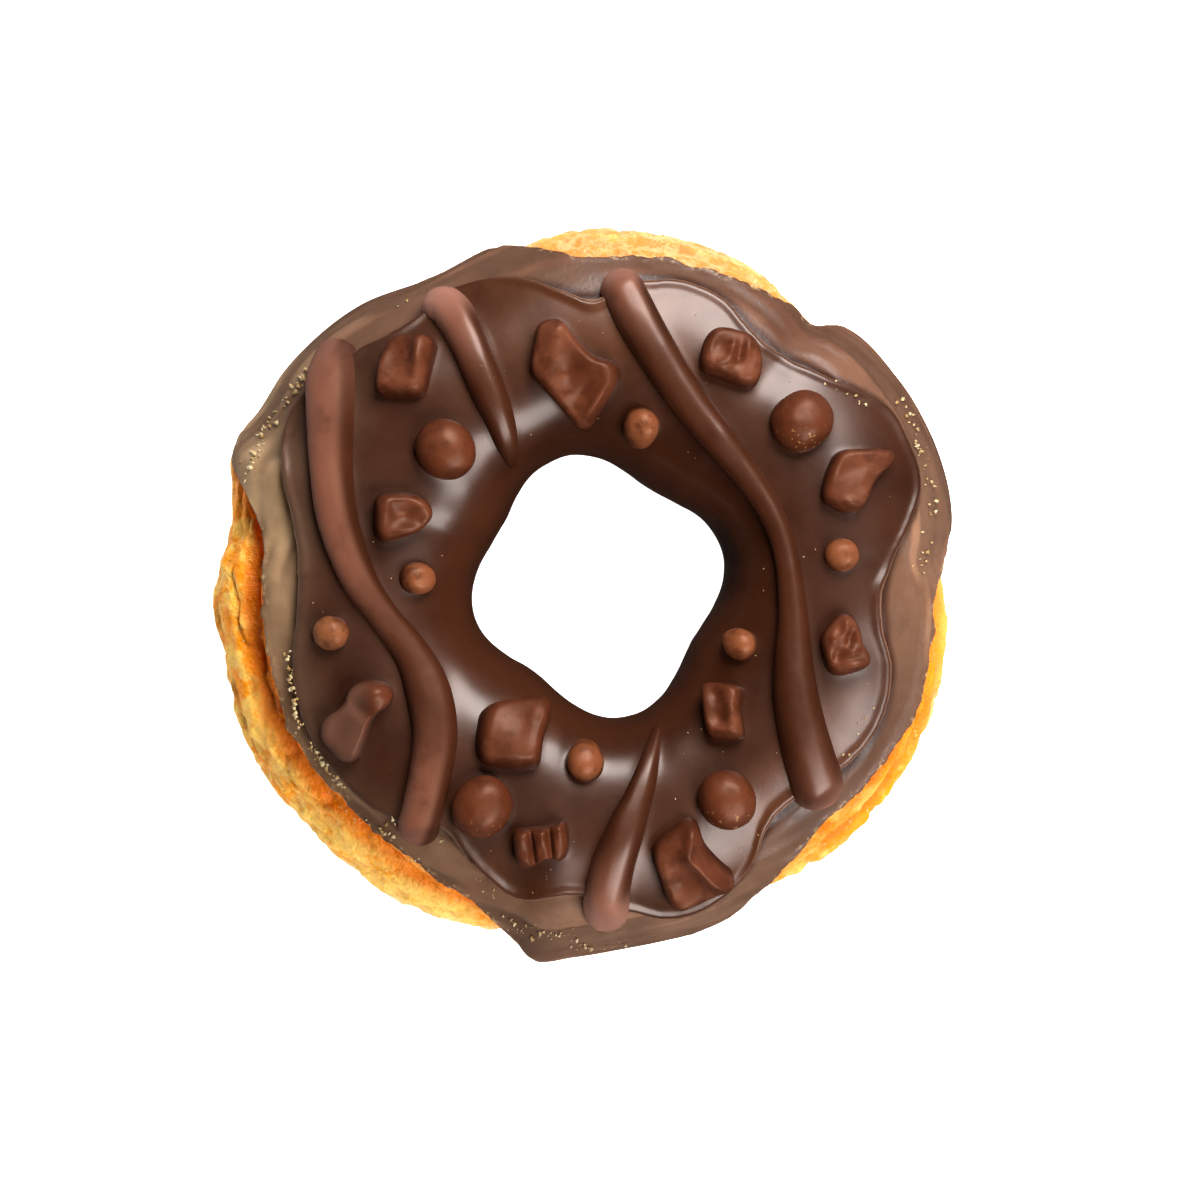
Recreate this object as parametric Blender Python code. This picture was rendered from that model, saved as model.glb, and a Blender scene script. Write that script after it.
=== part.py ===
"""A ring doughnut dipped in chocolate, seen as it lies on its flat underside.

It is fried dough with creased, craggy sides, a thin first coat of chocolate, and a thick second coat with a
wavy edge. Piped strands and small beads are set in the second coat, and larger chunks and beads lie on it.
All sizes are millimetres until a mesh is made. +Z is up, and the origin is the middle of the underside.
"""

import bmesh
import bpy
import numpy as np

METRES = 0.001

# Points round the ring, then over its section: on the dough's side, the rest of the dough, and each coat.
SEGMENTS = 72
SIDE_ROWS = 13
OTHER_ROWS = 6
FIRST_COAT_ROWS = 12
SECOND_COAT_ROWS = 10

# The hole's middle lies a little off the middle of the whole. Angles run round it, from +X towards +Y.
HOLE_X = 1.7
HOLE_Y = 0.8

# Middle of the uneven outline, where the origin goes.
MIDDLE = (-0.4, 0.1, 0.0)

# Heights of the dough: its widest level, its crown, and how far its round underside is cut off flat.
WAIST = 12.5
CROWN = 26.5
FLAT_CUT = 2.0

# The crown's height varies round the ring: (waves round, height, angle of the first peak).
CROWN_WAVES = ((2, 0.5, 40.0), (3, 0.3, 250.0))

# How square the ring's section is above and below its widest level. 2 is an ellipse.
TOP_POWER = 2.3
BASE_POWER = 2.6

# How far the crown lies nearer to the hole than the middle of the section does.
CROWN_INWARD = 3.0

# Coats, measured outwards from the dough. A thin gap keeps neighbouring solids apart.
GAP = 0.3
FIRST_COAT = 0.9
SECOND_COAT = 1.4
FIRST_BOTTOM = GAP
FIRST_TOP = FIRST_BOTTOM + FIRST_COAT
SECOND_BOTTOM = FIRST_TOP + GAP
SECOND_TOP = SECOND_BOTTOM + SECOND_COAT

# Share of a coat's thickness that is left at its outer edge, and at its end in the hole.
OUTER_LIP = 0.55
INNER_LIP = 0.4

# Share of the way over the ring in which the second coat's rim rises to its full thickness.
RIM = 0.03

# The coated hole is a rounded square: a mean radius, and (waves round, depth, angle of the first peak).
HOLE_RADIUS = 15.0
HOLE_WAVES = ((1, 0.4, 114.0), (2, 0.4, -69.0), (3, 0.3, 32.0), (4, 1.3, 14.0), (5, 0.1, -35.0))

# Outer edge of the dough in plan: (angle, radius).
DOUGH_EDGE = (
    (0, 43.5), (5, 42.6), (10, 43.6), (20, 44.4), (35, 44.4), (47, 43.4), (51, 42.4), (56, 43.4),
    (65, 44.6), (80, 45.1), (95, 45.0), (108, 43.4), (120, 43.0), (130, 45.0), (145, 46.3), (154, 46.7),
    (160, 48.9), (166, 47.4), (171, 46.9), (177, 48.1), (190, 48.1), (203, 48.2), (225, 47.1), (240, 46.3),
    (250, 45.1), (256, 44.9), (260, 45.9), (266, 44.9), (273, 44.0), (288, 43.6), (296, 42.9), (302, 43.4),
    (310, 44.1), (325, 44.8), (333, 44.9), (341, 45.0), (350, 44.2),
)

# Lower edge of the first coat: (angle, degrees over the section). 0 is the widest level, 90 the crown.
FIRST_COAT_EDGE = (
    (0, 28), (8, 0), (20, -14), (38, -10), (47, 2), (51, 17), (55, 23), (65, 34), (80, 38), (95, 40),
    (104, 17), (112, -5), (130, -16), (150, -10), (158, 10), (165, 32), (172, 45), (190, 50), (210, 48),
    (230, 48), (240, 44), (250, 34), (256, 15), (262, -8), (278, -14), (292, 0), (300, 23), (310, 38),
    (325, 38), (340, 34), (350, 32),
)

# Wavy edge of the second coat in plan: (angle, radius).
SECOND_COAT_EDGE = (
    (0, 36.0), (8, 38.4), (17, 42.4), (25, 43.2), (32, 43.0), (42, 39.6), (53, 37.5), (59, 37.8),
    (66, 39.7), (74, 40.3), (82, 39.3), (92, 36.6), (99, 38.7), (108, 41.1), (116, 41.9), (126, 41.4),
    (136, 43.0), (146, 44.6), (153, 44.7), (160, 42.7), (168, 39.7), (177, 38.2), (185, 38.4), (193, 40.0),
    (202, 41.1), (215, 40.9), (229, 39.2), (237, 36.4), (246, 38.8), (255, 40.6), (267, 39.1), (275, 41.0),
    (284, 42.9), (292, 42.0), (299, 40.2), (305, 37.1), (310, 36.4), (318, 37.4), (327, 39.1), (336, 39.5),
    (344, 38.6), (352, 36.3),
)

# How far the coats run down inside the hole, in degrees over the section. 180 is the narrowest level.
FIRST_COAT_END = 212.0
SECOND_COAT_END = 196.0
END_SWAY = 4.0

# Creases round the dough's side: level in degrees over the section, sway, angle where it is highest, depth,
# and how many times the depth swells and fades round the ring.
CREASES = ((26.0, 13.0, 188.0, 1.5, 2), (-4.0, 6.0, 70.0, 1.2, 3), (-32.0, 7.0, 300.0, 1.3, 4))
CREASE_WIDTH = 8.0

# Lumps between the creases: depth, how many there are round the ring, and how close over its section.
LUMP_DEPTH = 0.5
LUMPS_ROUND = 11
LUMPS_OVER = 5

# The dough's side reaches up to this many degrees over the section, where its relief ends.
SIDE_TOP = 62.0

# The dough is nearly smooth under the first coat, from this many degrees below the coat's edge upwards.
SMOOTH_FROM = 13.0
RELIEF_UNDER_COAT = 0.1

# Piped strands: (x, y, width) along each one.
STRANDS = (
    (
        (-31.6, 32.6, 5.3), (-31.6, 25.5, 5.8), (-31.6, 15.6, 5.3), (-30.8, 9.1, 5.1), (-28.5, 2.4, 4.6),
        (-25.5, -2.4, 4.0), (-21.8, -7.4, 4.5), (-19.7, -12.3, 5.6), (-18.8, -17.2, 5.7),
        (-19.3, -22.2, 5.4), (-20.6, -28.2, 5.2), (-21.9, -31.8, 4.8),
    ),
    (
        (3.3, 41.0, 5.0), (6.4, 34.4, 5.5), (9.7, 28.8, 5.2), (13.0, 23.9, 4.8), (16.9, 19.0, 4.3),
        (20.8, 14.0, 3.4), (23.7, 9.1, 3.1), (25.2, 4.0, 3.1), (25.9, -3.0, 3.8), (26.1, -11.8, 5.6),
        (27.5, -19.2, 6.4), (30.0, -27.2, 6.8),
    ),
    (
        (-20.6, 36.6, 3.0), (-17.1, 35.6, 5.0), (-14.9, 32.2, 4.9), (-12.2, 25.5, 4.5), (-10.9, 22.3, 3.9),
        (-9.9, 19.0, 3.0), (-9.2, 15.8, 0.9),
    ),
    (
        (9.1, -16.3, 1.0), (7.6, -22.2, 2.9), (6.5, -25.5, 3.7), (5.2, -28.8, 4.7), (3.0, -35.4, 5.6),
        (2.3, -42.8, 5.9),
    ),
)

# A strand's section: (share of its width to one side, share of its height). Its foot is in the coat.
STRAND_ARCH = ((-0.5, 0.25), (-0.36, 0.78), (0.0, 1.0), (0.36, 0.78), (0.5, 0.25))
STRAND_HEIGHT_TO_WIDTH = 0.46
STRAND_FOOT_WIDTH = 0.46
STRAND_FOOT = SECOND_BOTTOM + 0.25
STRAND_STEP = 2.8
STRAND_TIP = 0.32

# Small beads sunk in the second coat: (x, y, radius).
SMALL_BEADS = (
    (-21.2, 2.0, 2.05), (-31.6, -4.8, 2.2), (-0.1, -21.1, 2.4), (7.0, 21.1, 2.3), (31.8, 4.9, 2.1),
    (19.5, -6.3, 2.0),
)
SMALL_BEAD_FOOT = -0.8

# Sides and levels of the small and the large beads.
SMALL_BEAD_FACETS = (8, 4)
LARGE_BEAD_FACETS = (10, 5)

# Large beads that lie on the second coat: (x, y, radius).
LARGE_BEADS = ((-17.6, 18.2, 3.72), (26.7, 21.4, 3.72), (-12.8, -26.3, 3.75), (17.5, -25.4, 3.55))

# Share of a bead's radius that its middle stands above the coat, and how far over it the last ring lies.
BEAD_RISE = 0.15
BEAD_TOP_TILT = 80.0

# Chunks: (x, y, height), then the corners of its plan from there.
CHUNKS = (
    (
        (-22.1, 28.2, 3.1),
        (
            (-1.3, 3.5), (4.0, 3.4), (3.1, -0.1), (2.2, -3.9), (-3.8, -3.7), (-3.0, 0.7),
        ),
    ),
    (
        (-1.3, 27.7, 3.4),
        (
            (-5.3, 3.0), (-4.7, 5.9), (-1.8, 6.6), (0.4, 3.9), (2.7, 1.9), (5.2, 1.5), (6.0, -0.8),
            (1.8, -6.4), (0.2, -6.2), (-5.8, -0.2),
        ),
    ),
    (
        (17.9, 29.1, 3.2),
        (
            (-2.7, 3.5), (-0.9, 3.7), (2.4, 2.6), (3.8, 0.7), (3.8, -2.4), (2.8, -3.8), (0.8, -3.3),
            (-1.7, -2.1), (-3.9, -1.4), (-3.7, 1.2),
        ),
    ),
    (
        (33.5, 14.1, 2.8),
        (
            (-2.5, 3.8), (3.2, 3.9), (4.6, 3.3), (3.9, 1.6), (2.2, 0.1), (1.3, -2.2), (0.2, -4.2),
            (-1.4, -4.2), (-4.4, -2.6), (-4.0, 0.3),
        ),
    ),
    (
        (32.0, -6.1, 2.8),
        (
            (-0.8, 3.7), (0.9, 3.8), (1.9, 1.8), (2.1, -0.1), (3.3, -1.9), (2.5, -3.2), (-0.7, -4.2),
            (-2.1, -3.4), (-3.0, 0.7),
        ),
    ),
    (
        (17.5, -14.8, 2.9),
        (
            (-2.4, 3.1), (-0.6, 3.5), (2.7, 3.3), (2.0, 0.6), (2.6, -3.5), (-1.5, -3.6), (-2.4, -2.6),
            (-2.5, 0.2),
        ),
    ),
    (
        (13.1, -33.1, 3.4),
        (
            (-0.5, 5.6), (0.9, 5.0), (1.5, 2.3), (3.8, -0.2), (5.4, -1.4), (4.7, -2.4), (-1.6, -5.2),
            (-3.1, -4.8), (-3.5, -3.2), (-4.4, -1.0), (-5.1, 1.4), (-4.0, 3.1),
        ),
    ),
    (
        (-5.8, -30.7, 2.6),
        (
            (-3.4, 1.6), (1.8, 2.0), (3.4, 2.8), (3.9, 0.1), (3.5, -2.3), (1.3, -1.8), (-1.2, -3.0),
            (-2.8, -2.6),
        ),
    ),
    (
        (-9.2, -17.7, 3.4),
        (
            (-4.0, 3.4), (-1.4, 3.9), (3.2, 3.8), (4.7, 3.2), (4.6, 1.6), (3.8, -0.5), (3.5, -4.2),
            (0.8, -4.4), (-4.0, -3.6), (-4.7, -1.0),
        ),
    ),
    (
        (-28.4, -15.4, 2.6),
        (
            (-0.8, 4.2), (1.3, 4.9), (3.8, 4.5), (4.7, 2.8), (3.9, 1.4), (2.1, 0.4), (1.3, -2.2),
            (0.3, -5.4), (-1.5, -5.4), (-4.5, -2.2), (-4.0, 0.2), (-1.6, 1.5),
        ),
    ),
    (
        (-23.2, 9.9, 3.0),
        (
            (-3.1, 2.5), (-0.6, 2.9), (2.0, 2.8), (3.7, 1.6), (3.8, 0.0), (1.5, -2.5), (-2.2, -3.7),
            (-3.1, -2.6), (-3.3, -0.8),
        ),
    ),
)

# A chunk or large bead stands this far clear of the coat. Smaller rings, as shares of its foot, let the
# foot follow the coat's curve.
TOPPING_GAP = 0.45
FOOT_RINGS = (0.08, 0.55)

# Levels of a chunk: (share of its height, share of its plan), above its foot.
CHUNK_LEVELS = ((0.3, 1.0), (0.75, 0.92), (1.0, 0.70))
CHUNK_FOOT = 0.93
CHUNK_ROUNDING = 1.0

# A chunk's corners that are blunter than this are left as they are.
BLUNT_CORNER = 125.0

# Steps that find the place on the section from its radius.
OVER_TRIES = 25


def hermite(places, values, at):
    """Smooth curve through values at rising places, read at other places."""
    slopes = np.gradient(values, places)
    left = np.clip(np.searchsorted(places, at) - 1, 0, len(places) - 2)
    step = places[left + 1] - places[left]
    t = (at - places[left]) / step
    rise = t * t * (3 - 2 * t)
    lean = slopes[left] * (t - 1) + slopes[left + 1] * t
    return values[left] * (1 - rise) + values[left + 1] * rise + step * t * (t - 1) * lean


def around(pairs, degrees):
    """Value at an angle of the smooth closed outline through (angle, value) pairs."""
    places, values = np.array(pairs, float).T
    places = np.concatenate([places[-3:] - 360, places, places[:3] + 360])
    values = np.concatenate([values[-3:], values, values[:3]])
    return hermite(places, values, np.mod(degrees, 360))


def ease(share):
    """0 to 1, with level ends."""
    share = np.clip(share, 0, 1)
    return share * share * (3 - 2 * share)


def waves(rows, degrees):
    """Sum of waves round the ring, each (count, depth, angle of the first peak)."""
    return sum(depth * np.cos(np.radians(count * (degrees - peak))) for count, depth, peak in rows)


def band(degrees):
    """Middle radius and half width of the bare dough ring at an angle."""
    outer = around(DOUGH_EDGE, degrees)
    inner = HOLE_RADIUS + waves(HOLE_WAVES, degrees) + SECOND_TOP
    return (outer + inner) / 2, (outer - inner) / 2


def ring_point(degrees, over, offset):
    """Point of the ring at an angle round it and an angle over its section, raised by offset."""
    middle, half = band(degrees)
    across, up = np.cos(np.radians(over)), np.sin(np.radians(over))
    above = up >= 0
    power = 2 / np.where(above, TOP_POWER, BASE_POWER)
    rise = np.where(above, CROWN + waves(CROWN_WAVES, degrees) - WAIST, WAIST + FLAT_CUT)
    radius = middle + np.sign(across) * np.abs(across) ** power * (half + offset)
    radius = radius - CROWN_INWARD * np.where(above, up, 0.0) ** 2
    height = WAIST + np.sign(up) * np.abs(up) ** power * (rise + offset)
    angle = np.radians(degrees)
    x = HOLE_X + radius * np.cos(angle)
    y = HOLE_Y + radius * np.sin(angle)
    return np.stack(np.broadcast_arrays(x, y, np.maximum(height, 0.0)), axis=-1)


def over_at(degrees, radius, offset):
    """Angle over the section at which the raised upper surface has this plan radius."""
    middle, half = band(degrees)
    up = 1.0
    for _ in range(OVER_TRIES):
        share = np.clip((radius - middle + CROWN_INWARD * up**2) / (half + offset), -1, 1)
        over = np.arccos(np.sign(share) * np.abs(share) ** (TOP_POWER / 2))
        up = np.sin(over)
    return np.degrees(over)


def polar(x, y):
    """Angle and radius about the hole's middle."""
    return np.degrees(np.arctan2(y - HOLE_Y, x - HOLE_X)), np.hypot(x - HOLE_X, y - HOLE_Y)


def on_coat(x, y, height):
    """Point at a height above the second coat, over a plan place."""
    degrees, radius = polar(x, y)
    over = over_at(degrees, radius, SECOND_TOP)
    return ring_point(degrees, over, SECOND_TOP + height)


def dough_relief(degrees, over):
    """How far the creases and lumps of the dough's side lie below its smooth form."""
    lumps = np.sin(np.radians(LUMPS_ROUND * degrees)) * np.sin(np.radians(LUMPS_OVER * over + 40))
    depth = LUMP_DEPTH * (0.5 + 0.5 * lumps)
    for level, sway, highest, deep, swells in CREASES:
        centre = level + sway * np.cos(np.radians(degrees - highest))
        strength = 0.6 + 0.4 * np.cos(np.radians(swells * (degrees - highest)))
        depth = depth + deep * strength * np.exp(-(((over - centre) / CREASE_WIDTH) ** 2))
    covered = ease((over - around(FIRST_COAT_EDGE, degrees)) / SMOOTH_FROM + 1)
    return -depth * (1 - (1 - RELIEF_UNDER_COAT) * covered)


def grid_faces(columns, rows):
    """Quads of a grid that closes on itself both ways."""
    faces = []
    for i in range(columns):
        after = (i + 1) % columns
        for j in range(rows):
            above = (j + 1) % rows
            faces.append((i * rows + j, after * rows + j, after * rows + above, i * rows + above))
    return faces


def loft_faces(count, sides):
    """Quads between count rings of points, and a cap on each end."""
    faces = []
    for level in range(count - 1):
        for j in range(sides):
            after = (j + 1) % sides
            low, high = level * sides, (level + 1) * sides
            faces.append((low + j, low + after, high + after, high + j))
    faces.append(tuple(range(sides)))
    faces.append(tuple(range((count - 1) * sides, count * sides)))
    return faces


def material(name, colour, roughness):
    made = bpy.data.materials.new(name)
    made.use_nodes = True
    shader = made.node_tree.nodes["Principled BSDF"]
    shader.inputs["Base Color"].default_value = (*colour, 1.0)
    shader.inputs["Roughness"].default_value = roughness
    shader.inputs["Metallic"].default_value = 0.0
    return made


def add_solid(name, points, faces, finish, collection=None):
    """Makes a smooth-shaded object of a closed mesh whose points are in millimetres."""
    mesh = bpy.data.meshes.new(name)
    points = (np.asarray(points).reshape(-1, 3) - MIDDLE) * METRES
    mesh.from_pydata(points.tolist(), [], faces)
    work = bmesh.new()
    work.from_mesh(mesh)
    bmesh.ops.recalc_face_normals(work, faces=work.faces)
    bmesh.ops.triangulate(work, faces=work.faces)
    work.to_mesh(mesh)
    work.free()
    mesh.materials.append(finish)
    mesh.shade_smooth()
    made = bpy.data.objects.new(name, mesh)
    (collection or bpy.context.scene.collection).objects.link(made)
    return made


def make_dough(finish):
    """The dough ring. Its rows are closer on the outer side, where the creases show."""
    flat = np.degrees(np.arcsin((WAIST / (WAIST + FLAT_CUT)) ** (BASE_POWER / 2)))
    side = np.linspace(-flat, SIDE_TOP, SIDE_ROWS)
    rows = np.concatenate([side, np.linspace(SIDE_TOP, 180 + flat, OTHER_ROWS + 1)[1:]])
    degrees, over = np.meshgrid(np.arange(SEGMENTS) * 360 / SEGMENTS, rows, indexing="ij")
    on_side = ease((over + flat) / SMOOTH_FROM) * ease((SIDE_TOP + SMOOTH_FROM - over) / SMOOTH_FROM)
    points = ring_point(degrees, over, dough_relief(degrees, over) * on_side)
    return add_solid("dough", points, grid_faces(SEGMENTS, len(rows)), finish)


def make_coat(name, edge, end, bottom, top, shares, finish):
    """A shell over the ring, from its outer edge over the crown and down into the hole to its end."""
    degrees = (np.arange(SEGMENTS) * 360 / SEGMENTS)[:, None]
    end = end + END_SWAY * np.sin(np.radians(5 * degrees))
    over = edge[:, None] + (end - edge[:, None]) * shares
    lip = np.ones(len(shares))
    lip[0], lip[-1] = OUTER_LIP, INNER_LIP
    outside = ring_point(degrees, over, bottom + (top - bottom) * lip)
    inside = ring_point(degrees, over, bottom)[:, ::-1]
    points = np.concatenate([outside, inside], axis=1)
    return add_solid(name, points, grid_faces(SEGMENTS, 2 * len(shares)), finish)


def coat_ground(x, y):
    """Height of what a strand lies on, from the second coat's top: lower beyond that coat's edge."""
    degrees, radius = polar(x, y)
    beyond = ease((radius - around(SECOND_COAT_EDGE, degrees) + 0.5) / 2.0)
    return (FIRST_TOP + GAP - SECOND_TOP) * beyond


def route_points(route):
    """Evenly spaced (x, y, width) along a strand, closer at its ends, which are round."""
    marks = np.arange(len(route), dtype=float)
    fine = np.linspace(0, marks[-1], 400)
    x, y, width = (hermite(marks, column, fine) for column in np.array(route).T)
    length = np.concatenate([[0], np.cumsum(np.hypot(np.diff(x), np.diff(y)))])
    count = max(6, round(length[-1] / STRAND_STEP))
    even = np.linspace(0, 1, count)
    at = length[-1] * (0.8 * even + 0.2 * (0.5 - 0.5 * np.cos(np.pi * even)))
    x, y, width = (np.interp(at, length, column) for column in (x, y, width))
    from_end = np.minimum(at, at[-1] - at)
    roundness = np.sqrt(1 - (1 - np.minimum(from_end / (width / 2), 1)) ** 2)
    return x, y, width * np.maximum(roundness, STRAND_TIP)


def make_strand(number, route, finish, collection):
    """A piped strand: a low arch over its route, with its foot inside the second coat."""
    x, y, width = route_points(route)
    way = np.stack([np.gradient(x), np.gradient(y)], axis=1)
    way /= np.linalg.norm(way, axis=1)[:, None]
    points = []
    for px, py, wide, (along_x, along_y) in zip(x, y, width, way):
        left = np.array([-along_y, along_x]) * wide
        for side in (STRAND_FOOT_WIDTH, -STRAND_FOOT_WIDTH):
            points.append(on_coat(px - side * left[0], py - side * left[1], STRAND_FOOT - SECOND_TOP))
        for side, rise in reversed(STRAND_ARCH):
            place = px + side * left[0], py + side * left[1]
            points.append(on_coat(*place, rise * wide * STRAND_HEIGHT_TO_WIDTH + coat_ground(*place)))
    faces = loft_faces(len(x), len(STRAND_ARCH) + 2)
    return add_solid(f"strand_{number}", points, faces, finish, collection)


def stacked(name, rings, finish, collection=None):
    """A solid lofted through rings of (x, y, height above the coat), whose foot follows the coat."""
    foot = np.array(rings[0])
    middle = foot.mean(axis=0)
    rings = [middle + (foot - middle) * scale for scale in FOOT_RINGS] + list(rings)
    points = [on_coat(x, y, height) for ring in rings for x, y, height in ring]
    return add_solid(name, points, loft_faces(len(rings), len(foot)), finish, collection)


def make_bead(name, place, foot, facets, finish, collection=None):
    """A round bead cut off level at its foot."""
    x, y, radius = place
    sides, levels = facets
    middle = BEAD_RISE * radius
    lowest = np.degrees(np.arcsin((foot - middle) / radius))
    turns = np.arange(sides) * 2 * np.pi / sides
    rings = []
    for tilt in np.radians(np.linspace(lowest, BEAD_TOP_TILT, levels)):
        reach, height = radius * np.cos(tilt), middle + radius * np.sin(tilt)
        rings.append([(x + reach * np.cos(t), y + reach * np.sin(t), height) for t in turns])
    return stacked(name, rings, finish, collection)


def cut_corners(corners):
    """Outline with two points in place of each sharp corner, a short way along its two sides."""
    corners = np.array(corners, float)
    outline = []
    for before, corner, after in zip(np.roll(corners, 1, axis=0), corners, np.roll(corners, -1, axis=0)):
        sides = [before - corner, after - corner]
        lengths = [np.linalg.norm(side) for side in sides]
        between = np.degrees(np.arccos(sides[0] @ sides[1] / (lengths[0] * lengths[1])))
        if between > BLUNT_CORNER:
            outline.append(corner)
            continue
        for side, length in zip(sides, lengths):
            outline.append(corner + side * min(0.4, CHUNK_ROUNDING / length))
    return np.array(outline)


def make_chunk(name, place, corners, finish):
    """A chunk of chocolate lying flat on the second coat, with its top edge rounded off."""
    x, y, height = place
    outline = cut_corners(corners)
    middle = outline.mean(axis=0)
    rings = []
    levels = [(TOPPING_GAP, CHUNK_FOOT)] + [(share * height, scale) for share, scale in CHUNK_LEVELS]
    for level, scale in levels:
        plan = middle + (outline - middle) * scale
        rings.append([(x + px, y + py, level) for px, py in plan])
    return stacked(name, rings, finish)


def fuse(body, collection):
    """Joins a collection's solids to a body by one Boolean union, and removes the collection."""
    union = body.modifiers.new("union", "BOOLEAN")
    union.operation = "UNION"
    union.solver = "EXACT"
    union.operand_type = "COLLECTION"
    union.collection = collection
    graph = bpy.context.evaluated_depsgraph_get()
    joined = bpy.data.meshes.new_from_object(body.evaluated_get(graph))
    body.modifiers.clear()
    body.data = joined
    for piece in list(collection.objects):
        bpy.data.objects.remove(piece)
    bpy.data.collections.remove(collection)


def make_first_coat(finish):
    """The thin coat, right on the dough, whose edge hangs lowest at three places."""
    edge = around(FIRST_COAT_EDGE, np.arange(SEGMENTS) * 360 / SEGMENTS)
    shares = np.linspace(0, 1, FIRST_COAT_ROWS)
    return make_coat("first_coat", edge, FIRST_COAT_END, FIRST_BOTTOM, FIRST_TOP, shares, finish)


def make_second_coat(finish, topping_finish):
    """The thick coat, whose rim stands up, with the piped strands and small beads joined to it."""
    degrees = np.arange(SEGMENTS) * 360 / SEGMENTS
    edge = over_at(degrees, around(SECOND_COAT_EDGE, degrees), SECOND_TOP)
    shares = np.concatenate([[0], np.linspace(RIM, 1, SECOND_COAT_ROWS)])
    coat = make_coat("second_coat", edge, SECOND_COAT_END, SECOND_BOTTOM, SECOND_TOP, shares, finish)
    fused = bpy.data.collections.new("fused")
    bpy.context.scene.collection.children.link(fused)
    for number, route in enumerate(STRANDS, 1):
        make_strand(number, route, topping_finish, fused)
    for number, place in enumerate(SMALL_BEADS, 1):
        make_bead(f"small_bead_{number}", place, SMALL_BEAD_FOOT, SMALL_BEAD_FACETS, topping_finish, fused)
    fuse(coat, fused)


def main():
    for old in list(bpy.data.objects):
        bpy.data.objects.remove(old)
    topping_finish = material("topping", (0.23, 0.08, 0.043), 0.32)
    make_dough(material("dough", (0.83, 0.42, 0.10), 0.6))
    make_first_coat(material("first_coat", (0.22, 0.12, 0.075), 0.5))
    make_second_coat(material("second_coat", (0.11, 0.045, 0.026), 0.35), topping_finish)
    for number, place in enumerate(LARGE_BEADS, 1):
        make_bead(f"bead_{number:02d}", place, TOPPING_GAP, LARGE_BEAD_FACETS, topping_finish)
    for number, (place, corners) in enumerate(CHUNKS, 1):
        make_chunk(f"chunk_{number:02d}", place, corners, topping_finish)


main()
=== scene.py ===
"""Looks of a chocolate ring doughnut, seen from straight above.

Each surface is rebuilt finely over the form of its solid, with the same named sizes. Lengths are
millimetres until a mesh is made. Angles run round the hole from +X towards +Y, and over the ring's
section from its widest level at 0, by the crown at 90, to the narrowest level in the hole at 180.
"""

import bmesh
import bpy
import numpy as np
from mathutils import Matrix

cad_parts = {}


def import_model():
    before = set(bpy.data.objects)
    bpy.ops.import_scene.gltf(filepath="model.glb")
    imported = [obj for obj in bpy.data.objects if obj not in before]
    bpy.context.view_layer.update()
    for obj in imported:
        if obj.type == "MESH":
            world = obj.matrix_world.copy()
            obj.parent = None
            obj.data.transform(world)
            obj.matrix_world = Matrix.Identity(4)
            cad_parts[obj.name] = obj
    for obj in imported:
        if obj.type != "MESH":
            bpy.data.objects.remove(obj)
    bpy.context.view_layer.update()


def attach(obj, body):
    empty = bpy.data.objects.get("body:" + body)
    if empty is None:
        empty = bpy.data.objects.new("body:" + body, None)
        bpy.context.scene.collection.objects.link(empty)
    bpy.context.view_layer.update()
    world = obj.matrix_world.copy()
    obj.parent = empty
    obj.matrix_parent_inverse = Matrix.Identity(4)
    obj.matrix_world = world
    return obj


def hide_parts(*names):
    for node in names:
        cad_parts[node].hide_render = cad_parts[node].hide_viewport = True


METRES = 0.001

# The doughnut's form, as in its solids.
HOLE_X = 1.7
HOLE_Y = 0.8
MIDDLE = (-0.4, 0.1, 0.0)
WAIST = 12.5
CROWN = 26.5
FLAT_CUT = 2.0
CROWN_WAVES = ((2, 0.5, 40.0), (3, 0.3, 250.0))
TOP_POWER = 2.3
BASE_POWER = 2.6
CROWN_INWARD = 3.0
FIRST_TOP = 1.2
SECOND_TOP = 2.9
HOLE_RADIUS = 15.0
HOLE_WAVES = ((1, 0.4, 114.0), (2, 0.4, -69.0), (3, 0.3, 32.0), (4, 1.3, 14.0), (5, 0.1, -35.0))
DOUGH_EDGE = (
    (0, 43.5), (5, 42.6), (10, 43.6), (20, 44.4), (35, 44.4), (47, 43.4), (51, 42.4), (56, 43.4),
    (65, 44.6), (80, 45.1), (95, 45.0), (108, 43.4), (120, 43.0), (130, 45.0), (145, 46.3), (154, 46.7),
    (160, 48.9), (166, 47.4), (171, 46.9), (177, 48.1), (190, 48.1), (203, 48.2), (225, 47.1), (240, 46.3),
    (250, 45.1), (256, 44.9), (260, 45.9), (266, 44.9), (273, 44.0), (288, 43.6), (296, 42.9), (302, 43.4),
    (310, 44.1), (325, 44.8), (333, 44.9), (341, 45.0), (350, 44.2),
)
FIRST_COAT_EDGE = (
    (0, 28), (8, 0), (20, -14), (38, -10), (47, 2), (51, 17), (55, 23), (65, 34), (80, 38), (95, 40),
    (104, 17), (112, -5), (130, -16), (150, -10), (158, 10), (165, 32), (172, 45), (190, 50), (210, 48),
    (230, 48), (240, 44), (250, 34), (256, 15), (262, -8), (278, -14), (292, 0), (300, 23), (310, 38),
    (325, 38), (340, 34), (350, 32),
)
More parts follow.
